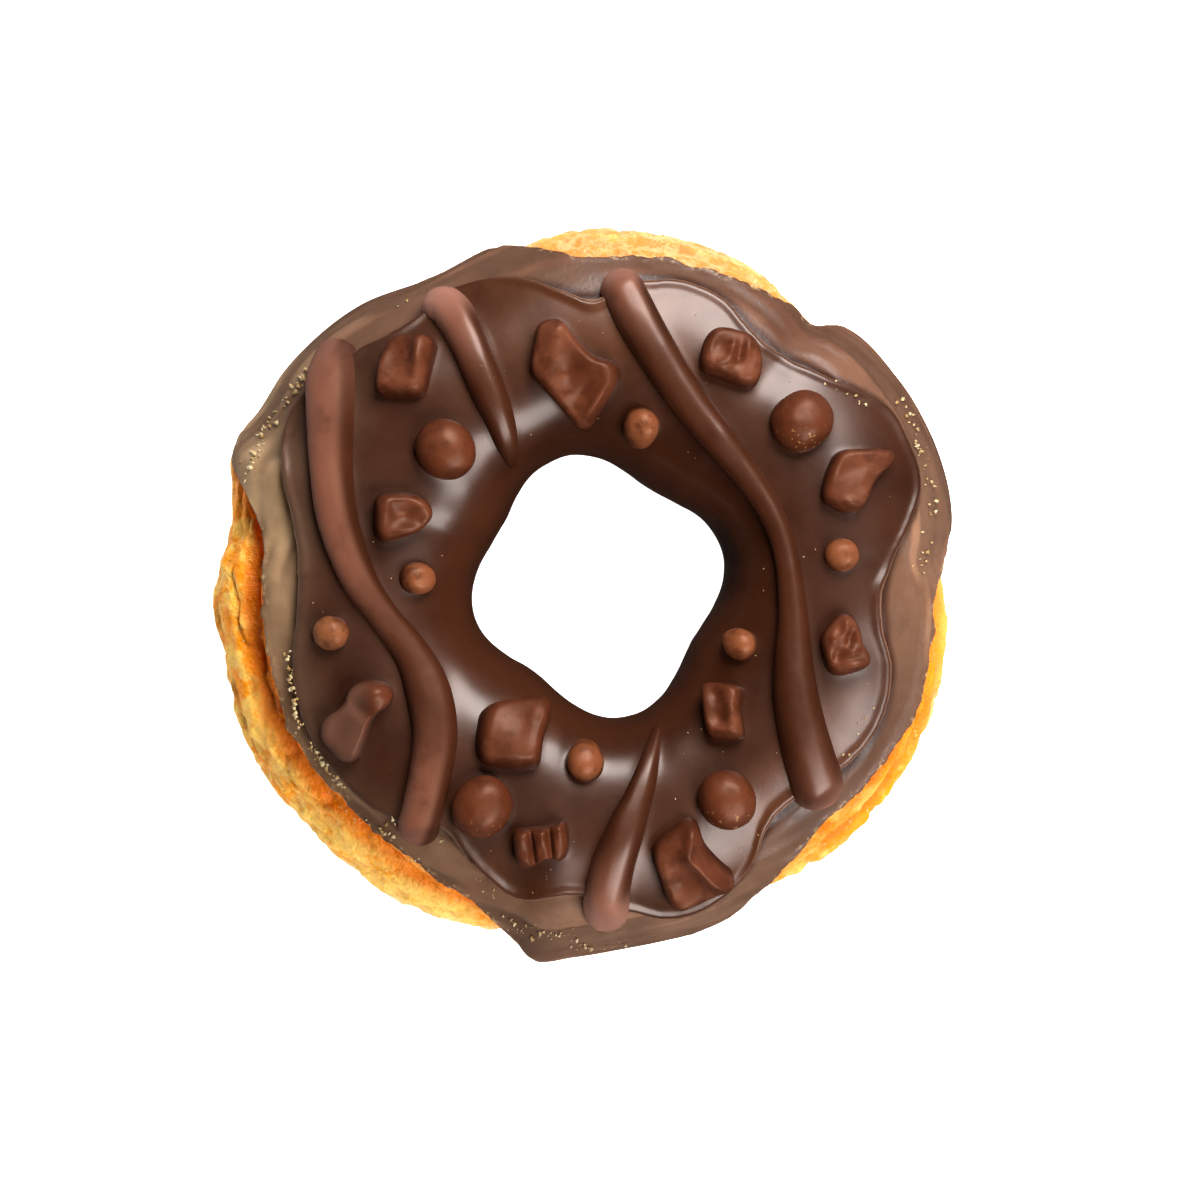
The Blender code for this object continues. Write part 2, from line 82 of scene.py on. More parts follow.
SECOND_COAT_EDGE = (
    (0, 36.0), (8, 38.4), (17, 42.4), (25, 43.2), (32, 43.0), (42, 39.6), (53, 37.5), (59, 37.8),
    (66, 39.7), (74, 40.3), (82, 39.3), (92, 36.6), (99, 38.7), (108, 41.1), (116, 41.9), (126, 41.4),
    (136, 43.0), (146, 44.6), (153, 44.7), (160, 42.7), (168, 39.7), (177, 38.2), (185, 38.4), (193, 40.0),
    (202, 41.1), (215, 40.9), (229, 39.2), (237, 36.4), (246, 38.8), (255, 40.6), (267, 39.1), (275, 41.0),
    (284, 42.9), (292, 42.0), (299, 40.2), (305, 37.1), (310, 36.4), (318, 37.4), (327, 39.1), (336, 39.5),
    (344, 38.6), (352, 36.3),
)
FIRST_COAT_END = 212.0
SECOND_COAT_END = 196.0
END_SWAY = 4.0

# Creases round the dough's side: (angle over the section, its sway, where it is highest, depth, swells).
CREASES = ((26.0, 13.0, 188.0, 1.5, 2), (-4.0, 6.0, 70.0, 1.2, 3), (-32.0, 7.0, 300.0, 1.3, 4))
CREASE_WIDTH = 8.0
SIDE_TOP = 62.0
SMOOTH_FROM = 13.0

# The length of one degree over the section, and the radius at which lengths round the ring hold.
DEGREE_OVER = 0.26
LENGTHS_AT = 45.0

# Finer relief of the crust: (length round the ring, length over it, depth, and the noise it stays below).
WRINKLES = (7.0, 2.4, 0.65, 0.45)
PLEATS = (2.6, 1.5, 0.14, 0.3)
LUMPS = (1.9, 1.3, 0.2)

# The groove that the coat's edge presses into the crust: its place and width in degrees, and its depth.
GROOVE = (4.0, 4.0, 0.55)

# Angles round the ring at which the crust is most golden, and where painted shade makes it browner,
# on the side that the lamp behind lights.
GOLDEN_SIDE = 238.0
GOLDEN_TOP = 75.0
SHADE_BEHIND_MIDDLE = 80.0
SHADE_BEHIND_SPREAD = 42.0

# Piped strands: (x, y, width) along each one.
STRANDS = (
    (
        (-31.6, 32.6, 5.3), (-31.6, 25.5, 5.8), (-31.6, 15.6, 5.3), (-30.8, 9.1, 5.1), (-28.5, 2.4, 4.6),
        (-25.5, -2.4, 4.0), (-21.8, -7.4, 4.5), (-19.7, -12.3, 5.6), (-18.8, -17.2, 5.7),
        (-19.3, -22.2, 5.4), (-20.6, -28.2, 5.2), (-21.9, -31.8, 4.8),
    ),
    (
        (3.3, 41.0, 5.0), (6.4, 34.4, 5.5), (9.7, 28.8, 5.2), (13.0, 23.9, 4.8), (16.9, 19.0, 4.3),
        (20.8, 14.0, 3.4), (23.7, 9.1, 3.1), (25.2, 4.0, 3.1), (25.9, -3.0, 3.8), (26.1, -11.8, 5.6),
        (27.5, -19.2, 6.4), (30.0, -27.2, 6.8),
    ),
    (
        (-20.6, 36.6, 3.0), (-17.1, 35.6, 5.0), (-14.9, 32.2, 4.9), (-12.2, 25.5, 4.5), (-10.9, 22.3, 3.9),
        (-9.9, 19.0, 3.0), (-9.2, 15.8, 0.9),
    ),
    (
        (9.1, -16.3, 1.0), (7.6, -22.2, 2.9), (6.5, -25.5, 3.7), (5.2, -28.8, 4.7), (3.0, -35.4, 5.6),
        (2.3, -42.8, 5.9),
    ),
)
STRAND_HEIGHT_TO_WIDTH = 0.46
STRAND_TIP = 0.12

# Powers that give a strand's arch its full shoulders.
ARCH_POWERS = (2.8, 0.55)

# The strand with no gloss, the radius from which each strand gets dust and painted light, and the radius
# from which its tip has a paler painted highlight, with how much.
DULL_STRAND = 1
DUST_AND_LIGHT_FROM = (24.0, 29.0, 28.0, 30.0)
TIP_HIGHLIGHT_FROM = 36.0
TIP_HIGHLIGHT_SHARE = (0.12, 1.0, 0.9, 0.9)

# Beads: (x, y, radius), and the share of the radius that the middle stands above the coat.
SMALL_BEADS = (
    (-21.2, 2.0, 2.05), (-31.6, -4.8, 2.2), (-0.1, -21.1, 2.4), (7.0, 21.1, 2.3), (31.8, 4.9, 2.1),
    (19.5, -6.3, 2.0),
)
LARGE_BEADS = ((-17.6, 18.2, 3.72), (26.7, 21.4, 3.72), (-12.8, -26.3, 3.75), (17.5, -25.4, 3.55))
BEAD_RISE = 0.15
BEAD_SQUARENESS = 0.88
BEAD_FLATNESS = 0.96
BEAD_LUMPS = 0.035

# Chunks: (x, y, height), then the corners of its plan from there.
CHUNKS = (
    ((-22.1, 28.2, 3.1), (
        (-1.3, 3.5), (4.0, 3.4), (3.1, -0.1), (2.2, -3.9), (-3.8, -3.7), (-3.0, 0.7),
    )),
    ((-1.3, 27.7, 3.4), (
        (-5.3, 3.0), (-4.7, 5.9), (-1.8, 6.6), (0.4, 3.9), (2.7, 1.9), (5.2, 1.5), (6.0, -0.8),
        (1.8, -6.4), (0.2, -6.2), (-5.8, -0.2),
    )),
    ((17.9, 29.1, 3.2), (
        (-2.7, 3.5), (-0.9, 3.7), (2.4, 2.6), (3.8, 0.7), (3.8, -2.4), (2.8, -3.8), (0.8, -3.3),
        (-1.7, -2.1), (-3.9, -1.4), (-3.7, 1.2),
    )),
    ((33.5, 14.1, 2.8), (
        (-2.5, 3.8), (3.2, 3.9), (4.6, 3.3), (3.9, 1.6), (2.2, 0.1), (1.3, -2.2), (0.2, -4.2),
        (-1.4, -4.2), (-4.4, -2.6), (-4.0, 0.3),
    )),
    ((32.0, -6.1, 2.8), (
        (-0.8, 3.7), (0.9, 3.8), (1.9, 1.8), (2.1, -0.1), (3.3, -1.9), (2.5, -3.2), (-0.7, -4.2),
        (-2.1, -3.4), (-3.0, 0.7),
    )),
    ((17.5, -14.8, 2.9), (
        (-2.4, 3.1), (-0.6, 3.5), (2.7, 3.3), (2.0, 0.6), (2.6, -3.5), (-1.5, -3.6), (-2.4, -2.6),
        (-2.5, 0.2),
    )),
    ((13.1, -33.1, 3.4), (
        (-0.5, 5.6), (0.9, 5.0), (1.5, 2.3), (3.8, -0.2), (5.4, -1.4), (4.7, -2.4), (-1.6, -5.2),
        (-3.1, -4.8), (-3.5, -3.2), (-4.4, -1.0), (-5.1, 1.4), (-4.0, 3.1),
    )),
    ((-5.8, -30.7, 2.6), (
        (-3.4, 1.6), (1.8, 2.0), (3.4, 2.8), (3.9, 0.1), (3.5, -2.3), (1.3, -1.8), (-1.2, -3.0),
        (-2.8, -2.6),
    )),
    ((-9.2, -17.7, 3.4), (
        (-4.0, 3.4), (-1.4, 3.9), (3.2, 3.8), (4.7, 3.2), (4.6, 1.6), (3.8, -0.5), (3.5, -4.2),
        (0.8, -4.4), (-4.0, -3.6), (-4.7, -1.0),
    )),
    ((-28.4, -15.4, 2.6), (
        (-0.8, 4.2), (1.3, 4.9), (3.8, 4.5), (4.7, 2.8), (3.9, 1.4), (2.1, 0.4), (1.3, -2.2),
        (0.3, -5.4), (-1.5, -5.4), (-4.5, -2.2), (-4.0, 0.2), (-1.6, 1.5),
    )),
    ((-23.2, 9.9, 3.0), (
        (-3.1, 2.5), (-0.6, 2.9), (2.0, 2.8), (3.7, 1.6), (3.8, 0.0), (1.5, -2.5), (-2.2, -3.7),
        (-3.1, -2.6), (-3.3, -0.8),
    )),
)
CHUNK_ROUNDING = 1.3
CHUNK_SIDE = 0.36
CHUNK_SQUARENESS = 0.80
CHUNK_GRAIN = 0.05
CHUNK_SWELL = 0.12

# The chunk with a dusty veil.
VEILED_CHUNK = 10

# Soft bumps and dents on each chunk's top: (x, y, half length, half width, turn in degrees, height).
CHUNK_RELIEF = (
    ((1.9, 0.9, 2.6, 0.7, 75, 0.45), (-0.6, 0.7, 2.2, 1.5, 70, -0.45), (0.0, -2.6, 1.6, 0.6, 0, 0.15)),
    (
        (-1.0, 0.3, 1.9, 1.6, 20, -0.6), (2.2, -2.9, 2.8, 0.6, 47, 0.6), (-4.3, 2.2, 2.8, 1.1, 80, -0.6),
        (0.8, -1.8, 2.4, 0.9, 47, -0.3), (-2.2, 4.4, 1.8, 0.8, 60, 0.25),
    ),
    (
        (-0.1, 0.7, 1.1, 0.6, 80, 0.35), (1.7, 0.6, 1.2, 0.6, 85, 0.35), (-1.3, -1.0, 1.3, 0.6, 10, 0.3),
        (0.8, -0.3, 0.8, 0.6, 80, -0.45), (-1.7, 1.1, 0.9, 0.8, 60, -0.2),
    ),
    ((-0.5, 1.5, 2.2, 1.2, 10, -0.3), (1.8, -0.3, 1.1, 0.9, 60, -0.55), (-1.2, -2.9, 0.8, 0.6, 0, 0.25)),
    (
        (0.0, 2.4, 1.3, 0.5, 85, 0.5), (-1.4, 0.6, 1.1, 0.7, 70, 0.35), (0.5, -1.0, 1.0, 0.7, 40, 0.4),
        (0.4, 0.7, 1.0, 0.5, 80, -0.4), (-0.9, -1.3, 0.9, 0.5, 60, -0.35), (0.8, -2.6, 1.0, 0.5, 10, 0.3),
    ),
    (
        (1.2, -0.5, 2.6, 0.7, 88, 0.35), (-0.4, 1.4, 1.1, 0.8, 80, -0.3),
        (-0.4, -1.4, 1.1, 0.8, 90, -0.3), (0.2, -2.6, 1.2, 0.5, 0, 0.25),
    ),
    (
        (-0.4, 3.0, 2.0, 0.8, 72, 0.8), (0.6, 0.3, 2.4, 0.8, -42, 0.65), (3.1, -1.4, 1.6, 0.8, -15, 0.5),
        (-1.7, -1.7, 2.1, 1.6, 30, -0.7), (-3.6, 1.2, 1.6, 0.9, 70, -0.25),
        (-1.6, -4.2, 1.2, 0.6, 20, 0.25),
    ),
    (
        (-0.7, -0.3, 2.4, 0.34, 100, -0.7), (1.5, 0.0, 2.2, 0.34, 98, -0.7),
        (-2.0, 0.6, 0.8, 0.6, 90, 0.2), (0.4, 0.9, 0.9, 0.5, 95, 0.25), (2.6, 1.4, 0.9, 0.6, 95, 0.35),
        (-1.7, -1.5, 0.8, 0.5, 0, 0.2),
    ),
    ((-0.5, -0.6, 3.0, 2.6, 0, 0.35), (2.0, 0.4, 2.6, 1.1, 80, -0.2)),
    ((2.1, 2.9, 1.5, 1.3, 40, 0.6), (-1.9, -0.9, 2.6, 2.0, 60, -0.6), (0.7, 1.0, 1.4, 0.9, -40, -0.35)),
    (
        (0.2, 0.1, 1.5, 1.1, 20, -0.6), (-1.9, 0.6, 1.5, 0.6, 80, 0.25), (0.4, -1.7, 1.5, 0.6, 15, 0.35),
        (1.9, 1.2, 0.9, 0.8, 0, 0.15),
    ),
)
RELIEF_DEPTH = 1.3

# The chocolate's broad sheen is warm, under a narrower white one.
WARM_SHEEN = (1.0, 0.55, 0.36, 1.0)
COAT_ROUGHNESS = 0.28

# Crust tones, in linear light.
GOLD = (0.98, 0.58, 0.11)
ORANGE = (0.95, 0.3, 0.004)
# Painted shade, in creases and just under the coat's edge.
SHADE_AMBER = (0.8, 0.18, 0.002)
PALE_CRUST = (0.96, 0.61, 0.23)
# Painted shade on the side that the lamp behind lights.
SHADE_BROWN = (0.6, 0.22, 0.045)
SHADE_TAN = (0.62, 0.36, 0.15)
DEEP_FRIED = (0.42, 0.17, 0.035)
FLECKS = (0.85, 0.62, 0.25)

# Thin coat tones: the coat itself, its light brown patches, its khaki dust with painted sheen, painted
# shade in its folds, painted shadow in its valley below the thick coat's rim, its crumbly edge.
GLAZE_DEEP = (0.080, 0.029, 0.0140)
GLAZE_LIGHT = (0.132, 0.054, 0.028)
GLAZE_BROWN = (0.340, 0.172, 0.095)
GLAZE_KHAKI_DUST_AND_SHEEN = (0.360, 0.225, 0.115)
GLAZE_FOLD_SHADE = (0.066, 0.030, 0.016)
GLAZE_RIM_SHADOW = (0.034, 0.0095, 0.0036)
GLAZE_CRUMBLY = (0.52, 0.34, 0.15)

# Crumb tones.
STRAW = (0.34, 0.2, 0.065)
PALE_GOLD = (0.55, 0.43, 0.24)

# Chocolate tones, darkest and lightest.
ICING_DEEP = (0.021, 0.0048, 0.0015)
ICING_LIGHT = (0.031, 0.0078, 0.0028)
PIPED_DEEP = (0.030, 0.0070, 0.0022)
PIPED_LIGHT = (0.041, 0.0100, 0.0036)
MILK_DEEP = (0.068, 0.0150, 0.0050)
MILK_LIGHT = (0.094, 0.0230, 0.0082)
PALE_DEEP = (0.140, 0.0390, 0.0135)
PALE_LIGHT = (0.190, 0.0570, 0.0210)
BROKEN_DEEP = (0.066, 0.0155, 0.0056)
BROKEN_LIGHT = (0.112, 0.0310, 0.0135)

# Gloss of each chocolate: roughness and level of the broad sheen, and weight of the narrow one.
ICING_GLOSS = (0.42, 0.26, 0.55)
PIPED_GLOSS = (0.44, 0.34, 0.35)
DULL_GLOSS = (0.52, 0.26, 0.0)
MILK_GLOSS = (0.46, 0.32, 0.05)
BROKEN_GLOSS = (0.46, 0.26, 0.05)

# Tones laid over each chocolate: (mark, size of patches, noise where they start and are full, colour).
ICING_TONES = (
    # Painted light: paler towards the hole.
    ("inner", 6.0, 0.0, 0.3, (0.046, 0.0115, 0.0038)),
    # Painted light: warm lightening, mostly on slopes that face the lamps.
    ("dusty", 5.0, 0.1, 0.55, (0.066, 0.0195, 0.0064)),
    # Painted sheen: grey on the outer slopes to the left.
    ("grey", 5.0, 0.1, 0.5, (0.068, 0.0330, 0.0190)),
    # Painted highlight: the pale line along the rim.
    ("rim", 2.5, 0.24, 0.48, (0.34, 0.175, 0.110)),
)
PIPED_TONES = (
    # Dust and painted light on the strands; one flank stays dark as painted shade.
    ("dusty", 6.0, 0.1, 0.5, (0.138, 0.0480, 0.0275)),
    # Painted highlight: paler at the strands' tips.
    ("tip_highlight", 4.0, 0.1, 0.5, (0.270, 0.1150, 0.0780)),
)
MILK_TONES = (
    ("dusty", 5.0, 0.1, 0.6, (0.16, 0.064, 0.024)),
    ("smear", 2.2, 0.48, 0.66, (0.050, 0.0115, 0.0040)),
    # Painted shade on the steep sides.
    ("side", 3.0, 0.0, 0.2, (0.046, 0.0102, 0.0035)),
    ("sparkle", 0.5, 0.62, 0.7, (0.4, 0.22, 0.08)),
)
BROKEN_TONES = (
    ("dusty", 5.0, 0.1, 0.5, (0.080, 0.034, 0.021)),
    ("smear", 2.6, 0.44, 0.62, (0.050, 0.0115, 0.0040)),
    # Painted shade on the steep sides.
    ("side", 3.0, 0.0, 0.2, (0.036, 0.0076, 0.0025)),
)

# The view from above: its distance and width at the doughnut's widest level, and its middle.
VIEW_DISTANCE = 6000.0
VIEW_WIDTH = 150.0
VIEW_MIDDLE = (2.2, -0.8)
SENSOR_MM = 36.0

# Lamps: name, angle round the doughnut, angle from straight above, distance, size and power.
LAMPS = (
    ("lamp_behind", 68.0, 43.0, 0.7, 0.38, 9.5),
    ("lamp_in_front", -50.0, 43.0, 0.7, 0.34, 5.5),
)

# The surround fades upwards: sine of elevation from and to, brightness from and to. Gloss reflects a
# darker one.
SURROUND = (0.0, 0.6, 4.2, 0.24)
SURROUND_IN_GLOSS = (0.0, 0.8, 0.22, 0.03)
FLOOR_TONE = 0.85
FLOOR_TONE_IN_GLOSS = 0.0
FLOOR_GLOW = 1.3
FLOOR_REACH = 3.0

# The thick coat's raised rim, softer on one side, and the pale line of painted highlight along it.
SOFT_RIM_MIDDLE = 207.0
RIM_HEIGHT = 0.30
RIM_AT = 1.0
RIM_WIDTH = 0.55
RIM_HIGHLIGHT_AT = 0.35
RIM_HIGHLIGHT_WIDTH = 0.32

# Painted light on the thick coat: (angle, spread, radius where it starts, strength). The warm patches are
# painted light, mostly on slopes that face the lamps; the grey ones are painted sheen on the outer left.
PAINTED_WARM_LIGHT = ((88.0, 30.0, 25.0, 0.9), (308.0, 32.0, 27.0, 0.9), (246.0, 18.0, 32.0, 0.6))
PAINTED_GREY_SHEEN = ((167.0, 24.0, 32.5, 1.3), (200.0, 22.0, 34.0, 0.9), (235.0, 8.0, 32.0, 1.0))

# Painted light: the icing is paler from this radius towards the hole, standing in for light from the
# floor.
HOLE_LIGHT_FROM = 22.0

# Patches on the thin coat, in the same terms: khaki dust with painted sheen on the left, and a light
# brown elsewhere.
GLAZE_DUST_AND_SHEEN = ((160.0, 19.0, 20.0, 1.1), (205.0, 40.0, 20.0, 0.45))
GLAZE_PALE = ((283.0, 22.0, 20.0, 1.0), (5.0, 28.0, 20.0, 0.6), (118.0, 25.0, 20.0, 0.3))

# Crumbs: ends of each trail (x, y to x, y), how far they stray, how many, and the largest size.
CRUMB_TRAILS = (
    (-43.6, 11.0, -40.0, 20.5, 0.7, 34, 0.75), (-40.0, 20.5, -33.0, 29.6, 0.6, 34, 0.7),
    (-31.5, 31.0, -30.5, 32.8, 0.7, 12, 0.7), (-24.0, 36.0, -17.0, 37.8, 0.4, 10, 0.4),
    (-37.3, -6.9, -35.7, -17.5, 0.35, 60, 0.6), (-35.7, -17.5, -30.0, -24.4, 0.4, 54, 0.6),
    (-23.8, -28.2, -18.0, -31.8, 1.3, 46, 0.6), (-19.0, -29.7, -10.9, -38.0, 0.4, 26, 0.5),
    (-40.3, -8.0, -36.5, -22.0, 0.5, 26, 0.5), (-36.5, -22.0, -18.0, -35.5, 0.6, 36, 0.5),
    (-11.0, -41.0, 6.0, -44.6, 1.0, 60, 0.5), (39.4, 25.0, 43.6, 12.0, 0.7, 30, 0.45),
    (43.6, 12.0, 41.5, 2.0, 0.8, 20, 0.45), (8.0, 43.0, 14.0, 42.2, 0.4, 8, 0.4),
    (30.0, 26.5, 35.0, 23.5, 0.5, 10, 0.5), (36.0, -13.0, 28.0, -28.0, 0.6, 22, 0.4),
)
CRUMB_LEAST = 0.12
DUST_COUNT = 110
DUST_REACH = (20, 40)
DUST_SIZE = (0.1, 0.24)

# Points round and over each surface. The crust, above this angle, and the thin coat are coarser where
# they are hidden.
CRUST_FINE_TO = 76.0
ROUND = 600
CRUST_ROWS = 104
GLAZE_ROWS = 90
ICING_ROWS = 140
HIDDEN_ROWS = 40
RIM_ROWS = 9
BACK_ROWS = 12
STRAND_SIDES = 25
STRAND_STEP = 0.45
BEAD_TURNS = 56
BEAD_ROWS = 34
CHUNK_TURNS = 120
CHUNK_SIDE_ROWS = 22
CHUNK_TOP_ROWS = 20

# How far each coat's edges, and its lower side, are sunk into what it covers.
TUCK = 0.3
BACK_TUCK = 0.5

# Degrees over the section in which each coat's outer rim rounds up, the finely divided part of it, and
# the degrees in which its other end thins out.
GLAZE_RIM = 2.5
ICING_RIM = 3.6
RIM_REACH = 5.0
TAIL_REACH = 4.0

# Thin coat relief: depth of crags by the edge and of folds. Thick coat: swells, and fillets at toppings.
CRAG_DEPTH = 0.12
FOLD_DEPTH = 0.42
SWELL_DEPTH = 0.16
FILLET_HEIGHT = 0.06
FILLET_REACH = 0.3

# Steps that find the place on the section from its radius.
OVER_TRIES = 25
LATTICE_SIZE = 64
LATTICE = np.random.default_rng(11).uniform(-1, 1, (LATTICE_SIZE,) * 3)


def hermite(places, values, at):
    """Smooth curve through values at rising places, read at other places."""
    slopes = np.gradient(values, places)
    left = np.clip(np.searchsorted(places, at) - 1, 0, len(places) - 2)
    step = places[left + 1] - places[left]
    t = (at - places[left]) / step
    rise = t * t * (3 - 2 * t)
    lean = slopes[left] * (t - 1) + slopes[left + 1] * t
    return values[left] * (1 - rise) + values[left + 1] * rise + step * t * (t - 1) * lean


def around(pairs, degrees):
    """Value at an angle of the smooth closed outline through (angle, value) pairs."""
    places, values = np.array(pairs, float).T
    places = np.concatenate([places[-3:] - 360, places, places[:3] + 360])
    values = np.concatenate([values[-3:], values, values[:3]])
    return hermite(places, values, np.mod(degrees, 360))


def ease(share):
    """0 to 1, with level ends."""
    share = np.clip(share, 0, 1)
    return share * share * (3 - 2 * share)


def waves(rows, degrees):
    """Sum of waves round the ring, each (count, depth, angle of the first peak)."""
    return sum(depth * np.cos(np.radians(count * (degrees - peak))) for count, depth, peak in rows)


def noise(points, size, octaves=1):
    """Smooth seeded noise between about -1 and 1, whose largest lumps are size across."""
    total = 0.0
    for octave in range(octaves):
        place = np.asarray(points) * (2**octave / size) + 17.3 * (octave + 1)
        cell = np.floor(place).astype(int)
        share = place - cell
        share = share * share * (3 - 2 * share)
        value = 0.0
        for corner in range(8):
            bits = np.array([corner & 1, corner >> 1 & 1, corner >> 2 & 1])
            weight = np.prod(np.where(bits, share, 1 - share), axis=-1)
            at = np.mod(cell + bits, LATTICE_SIZE)
            value = value + weight * LATTICE[at[..., 0], at[..., 1], at[..., 2]]
        total = total + value / 2**octave
    return total


def band(degrees):
    """Middle radius and half width of the bare dough ring at an angle."""
    outer = around(DOUGH_EDGE, degrees)
    inner = HOLE_RADIUS + waves(HOLE_WAVES, degrees) + SECOND_TOP
    return (outer + inner) / 2, (outer - inner) / 2


def ring_point(degrees, over, offset):
    """Point of the ring at an angle round it and an angle over its section, raised by offset."""
    middle, half = band(degrees)
    across, up = np.cos(np.radians(over)), np.sin(np.radians(over))
    above = up >= 0
    power = 2 / np.where(above, TOP_POWER, BASE_POWER)
    rise = np.where(above, CROWN + waves(CROWN_WAVES, degrees) - WAIST, WAIST + FLAT_CUT)
    radius = middle + np.sign(across) * np.abs(across) ** power * (half + offset)
    radius = radius - CROWN_INWARD * np.where(above, up, 0.0) ** 2
    height = WAIST + np.sign(up) * np.abs(up) ** power * (rise + offset)
    angle = np.radians(degrees)
    x = HOLE_X + radius * np.cos(angle)
    y = HOLE_Y + radius * np.sin(angle)
    return np.stack(np.broadcast_arrays(x, y, np.maximum(height, 0.0)), axis=-1)


def over_at(degrees, radius, offset):
    """Angle over the section at which the raised upper surface has this plan radius."""
    middle, half = band(degrees)
    up = 1.0
    for _ in range(OVER_TRIES):
        share = np.clip((radius - middle + CROWN_INWARD * up**2) / (half + offset), -1, 1)
        over = np.arccos(np.sign(share) * np.abs(share) ** (TOP_POWER / 2))
        up = np.sin(over)
    return np.degrees(over)


def polar(x, y):
    """Angle and radius about the hole's middle."""
    return np.degrees(np.arctan2(y - HOLE_Y, x - HOLE_X)), np.hypot(x - HOLE_X, y - HOLE_Y)


def on_coat(x, y, height, coat=SECOND_TOP):
    """Points at heights above a coat's top, over plan places."""
    degrees, radius = polar(x, y)
    return ring_point(degrees, over_at(degrees, radius, coat), coat + height)


def grid_faces(columns, rows):
    """Quads of a grid that closes on itself both ways."""
    i, j = np.meshgrid(np.arange(columns), np.arange(rows), indexing="ij")
    after, above = (i + 1) % columns, (j + 1) % rows
    quads = np.stack([i * rows + j, after * rows + j, after * rows + above, i * rows + above], axis=-1)
    return quads.reshape(-1, 4).tolist()


def loft_faces(count, sides):
    """Quads between count rings of points, and a cap on each end."""
    level, j = np.meshgrid(np.arange(count - 1), np.arange(sides), indexing="ij")
    low, high, after = level * sides, (level + 1) * sides, (j + 1) % sides
    quads = np.stack([low + j, low + after, high + after, high + j], axis=-1).reshape(-1, 4).tolist()
    return quads + [list(range(sides))[::-1], list(range((count - 1) * sides, count * sides))]


def new_object(name, data):
    made = bpy.data.objects.new(name, data)
    bpy.context.scene.collection.objects.link(made)
    return made


def add_piece(name, points, faces, finish, nodes=(), marks=None):
    """Makes a smooth piece that rides on the doughnut and replaces these nodes. Marks are point values."""
    mesh = bpy.data.meshes.new(name)
    points = (np.asarray(points).reshape(-1, 3) - MIDDLE) * METRES
    mesh.from_pydata(points.tolist(), [], faces)
    for mark, values in (marks or {}).items():
        layer = mesh.attributes.new(mark, "FLOAT", "POINT")
        layer.data.foreach_set("value", np.asarray(values, np.float32).reshape(-1))
    mesh.materials.append(finish)
    mesh.shade_smooth()
    mesh.update()
    piece = new_object(name, mesh)
    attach(piece, "root")
    if nodes:
        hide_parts(*nodes)
    return piece


class Shader:
    """Builds one node material on a Principled BSDF, with short calls for the nodes used here."""

    def __init__(self, name, roughness, bsdf):
        self.material = bpy.data.materials.new(name)
        self.material.use_nodes = True
        self.tree = self.material.node_tree
        self.bsdf = self.tree.nodes["Principled BSDF"]
        self.bsdf.inputs["Roughness"].default_value = roughness
        for socket, value in bsdf.items():
            self.bsdf.inputs[socket].default_value = value
        self.place = self.node("ShaderNodeTexCoord").outputs["Object"]

    def node(self, kind, **settings):
        made = self.tree.nodes.new(kind)
        for name, value in settings.items():
            setattr(made, name, value)
        return made

    def link(self, value, socket):
        if isinstance(value, bpy.types.NodeSocket):
            self.tree.links.new(value, socket)
        else:
            socket.default_value = value

    def texture(self, kind, size_mm, **settings):
        made = self.node(kind)
        self.link(self.place, made.inputs["Vector"])
        for socket, value in {"Scale": 1 / METRES / size_mm, **settings}.items():
            made.inputs[socket].default_value = value
        return made.outputs

    def noise(self, size_mm, detail=3.0, roughness=0.55, distortion=0.0):
        settings = {"Detail": detail, "Roughness": roughness, "Distortion": distortion}
        return self.texture("ShaderNodeTexNoise", size_mm, **settings)["Fac"]

    def cells(self, size_mm):
        return self.texture("ShaderNodeTexVoronoi", size_mm)["Distance"]

    def mark(self, name):
        return self.node("ShaderNodeAttribute", attribute_name=name).outputs["Fac"]

    def span(self, value, low, high, to_low=0.0, to_high=1.0):
        made = self.node("ShaderNodeMapRange", interpolation_type="SMOOTHSTEP")
        self.link(value, made.inputs["Value"])
        ends = {"From Min": low, "From Max": high, "To Min": to_low, "To Max": to_high}
        for socket, number in ends.items():
            made.inputs[socket].default_value = number
        return made.outputs["Result"]

    def math(self, operation, a, b):
        made = self.node("ShaderNodeMath", operation=operation)
        self.link(a, made.inputs[0])
        self.link(b, made.inputs[1])
        return made.outputs[0]

    def times(self, a, b):
        return self.math("MULTIPLY", a, b)

    def mix(self, share, a, b):
        made = self.node("ShaderNodeMix", data_type="RGBA")
        self.link(share, made.inputs["Factor"])
        for value, name in ((a, "A"), (b, "B")):
            socket = [s for s in made.inputs if s.name == name and s.type == "RGBA"][0]
            self.link((*value, 1.0) if isinstance(value, tuple) else value, socket)
        return [s for s in made.outputs if s.type == "RGBA"][0]

    def bump(self, height, depth_mm, before=None):
        made = self.node("ShaderNodeBump")
        made.inputs["Distance"].default_value = depth_mm * METRES
        self.link(height, made.inputs["Height"])
        if before is not None:
            self.link(before, made.inputs["Normal"])
        return made.outputs["Normal"]

    def finish(self, colour, normal, roughness=None):
        self.link(colour, self.bsdf.inputs["Base Color"])
        self.link(normal, self.bsdf.inputs["Normal"])
        if roughness is not None:
            self.link(roughness, self.bsdf.inputs["Roughness"])
        return self.material


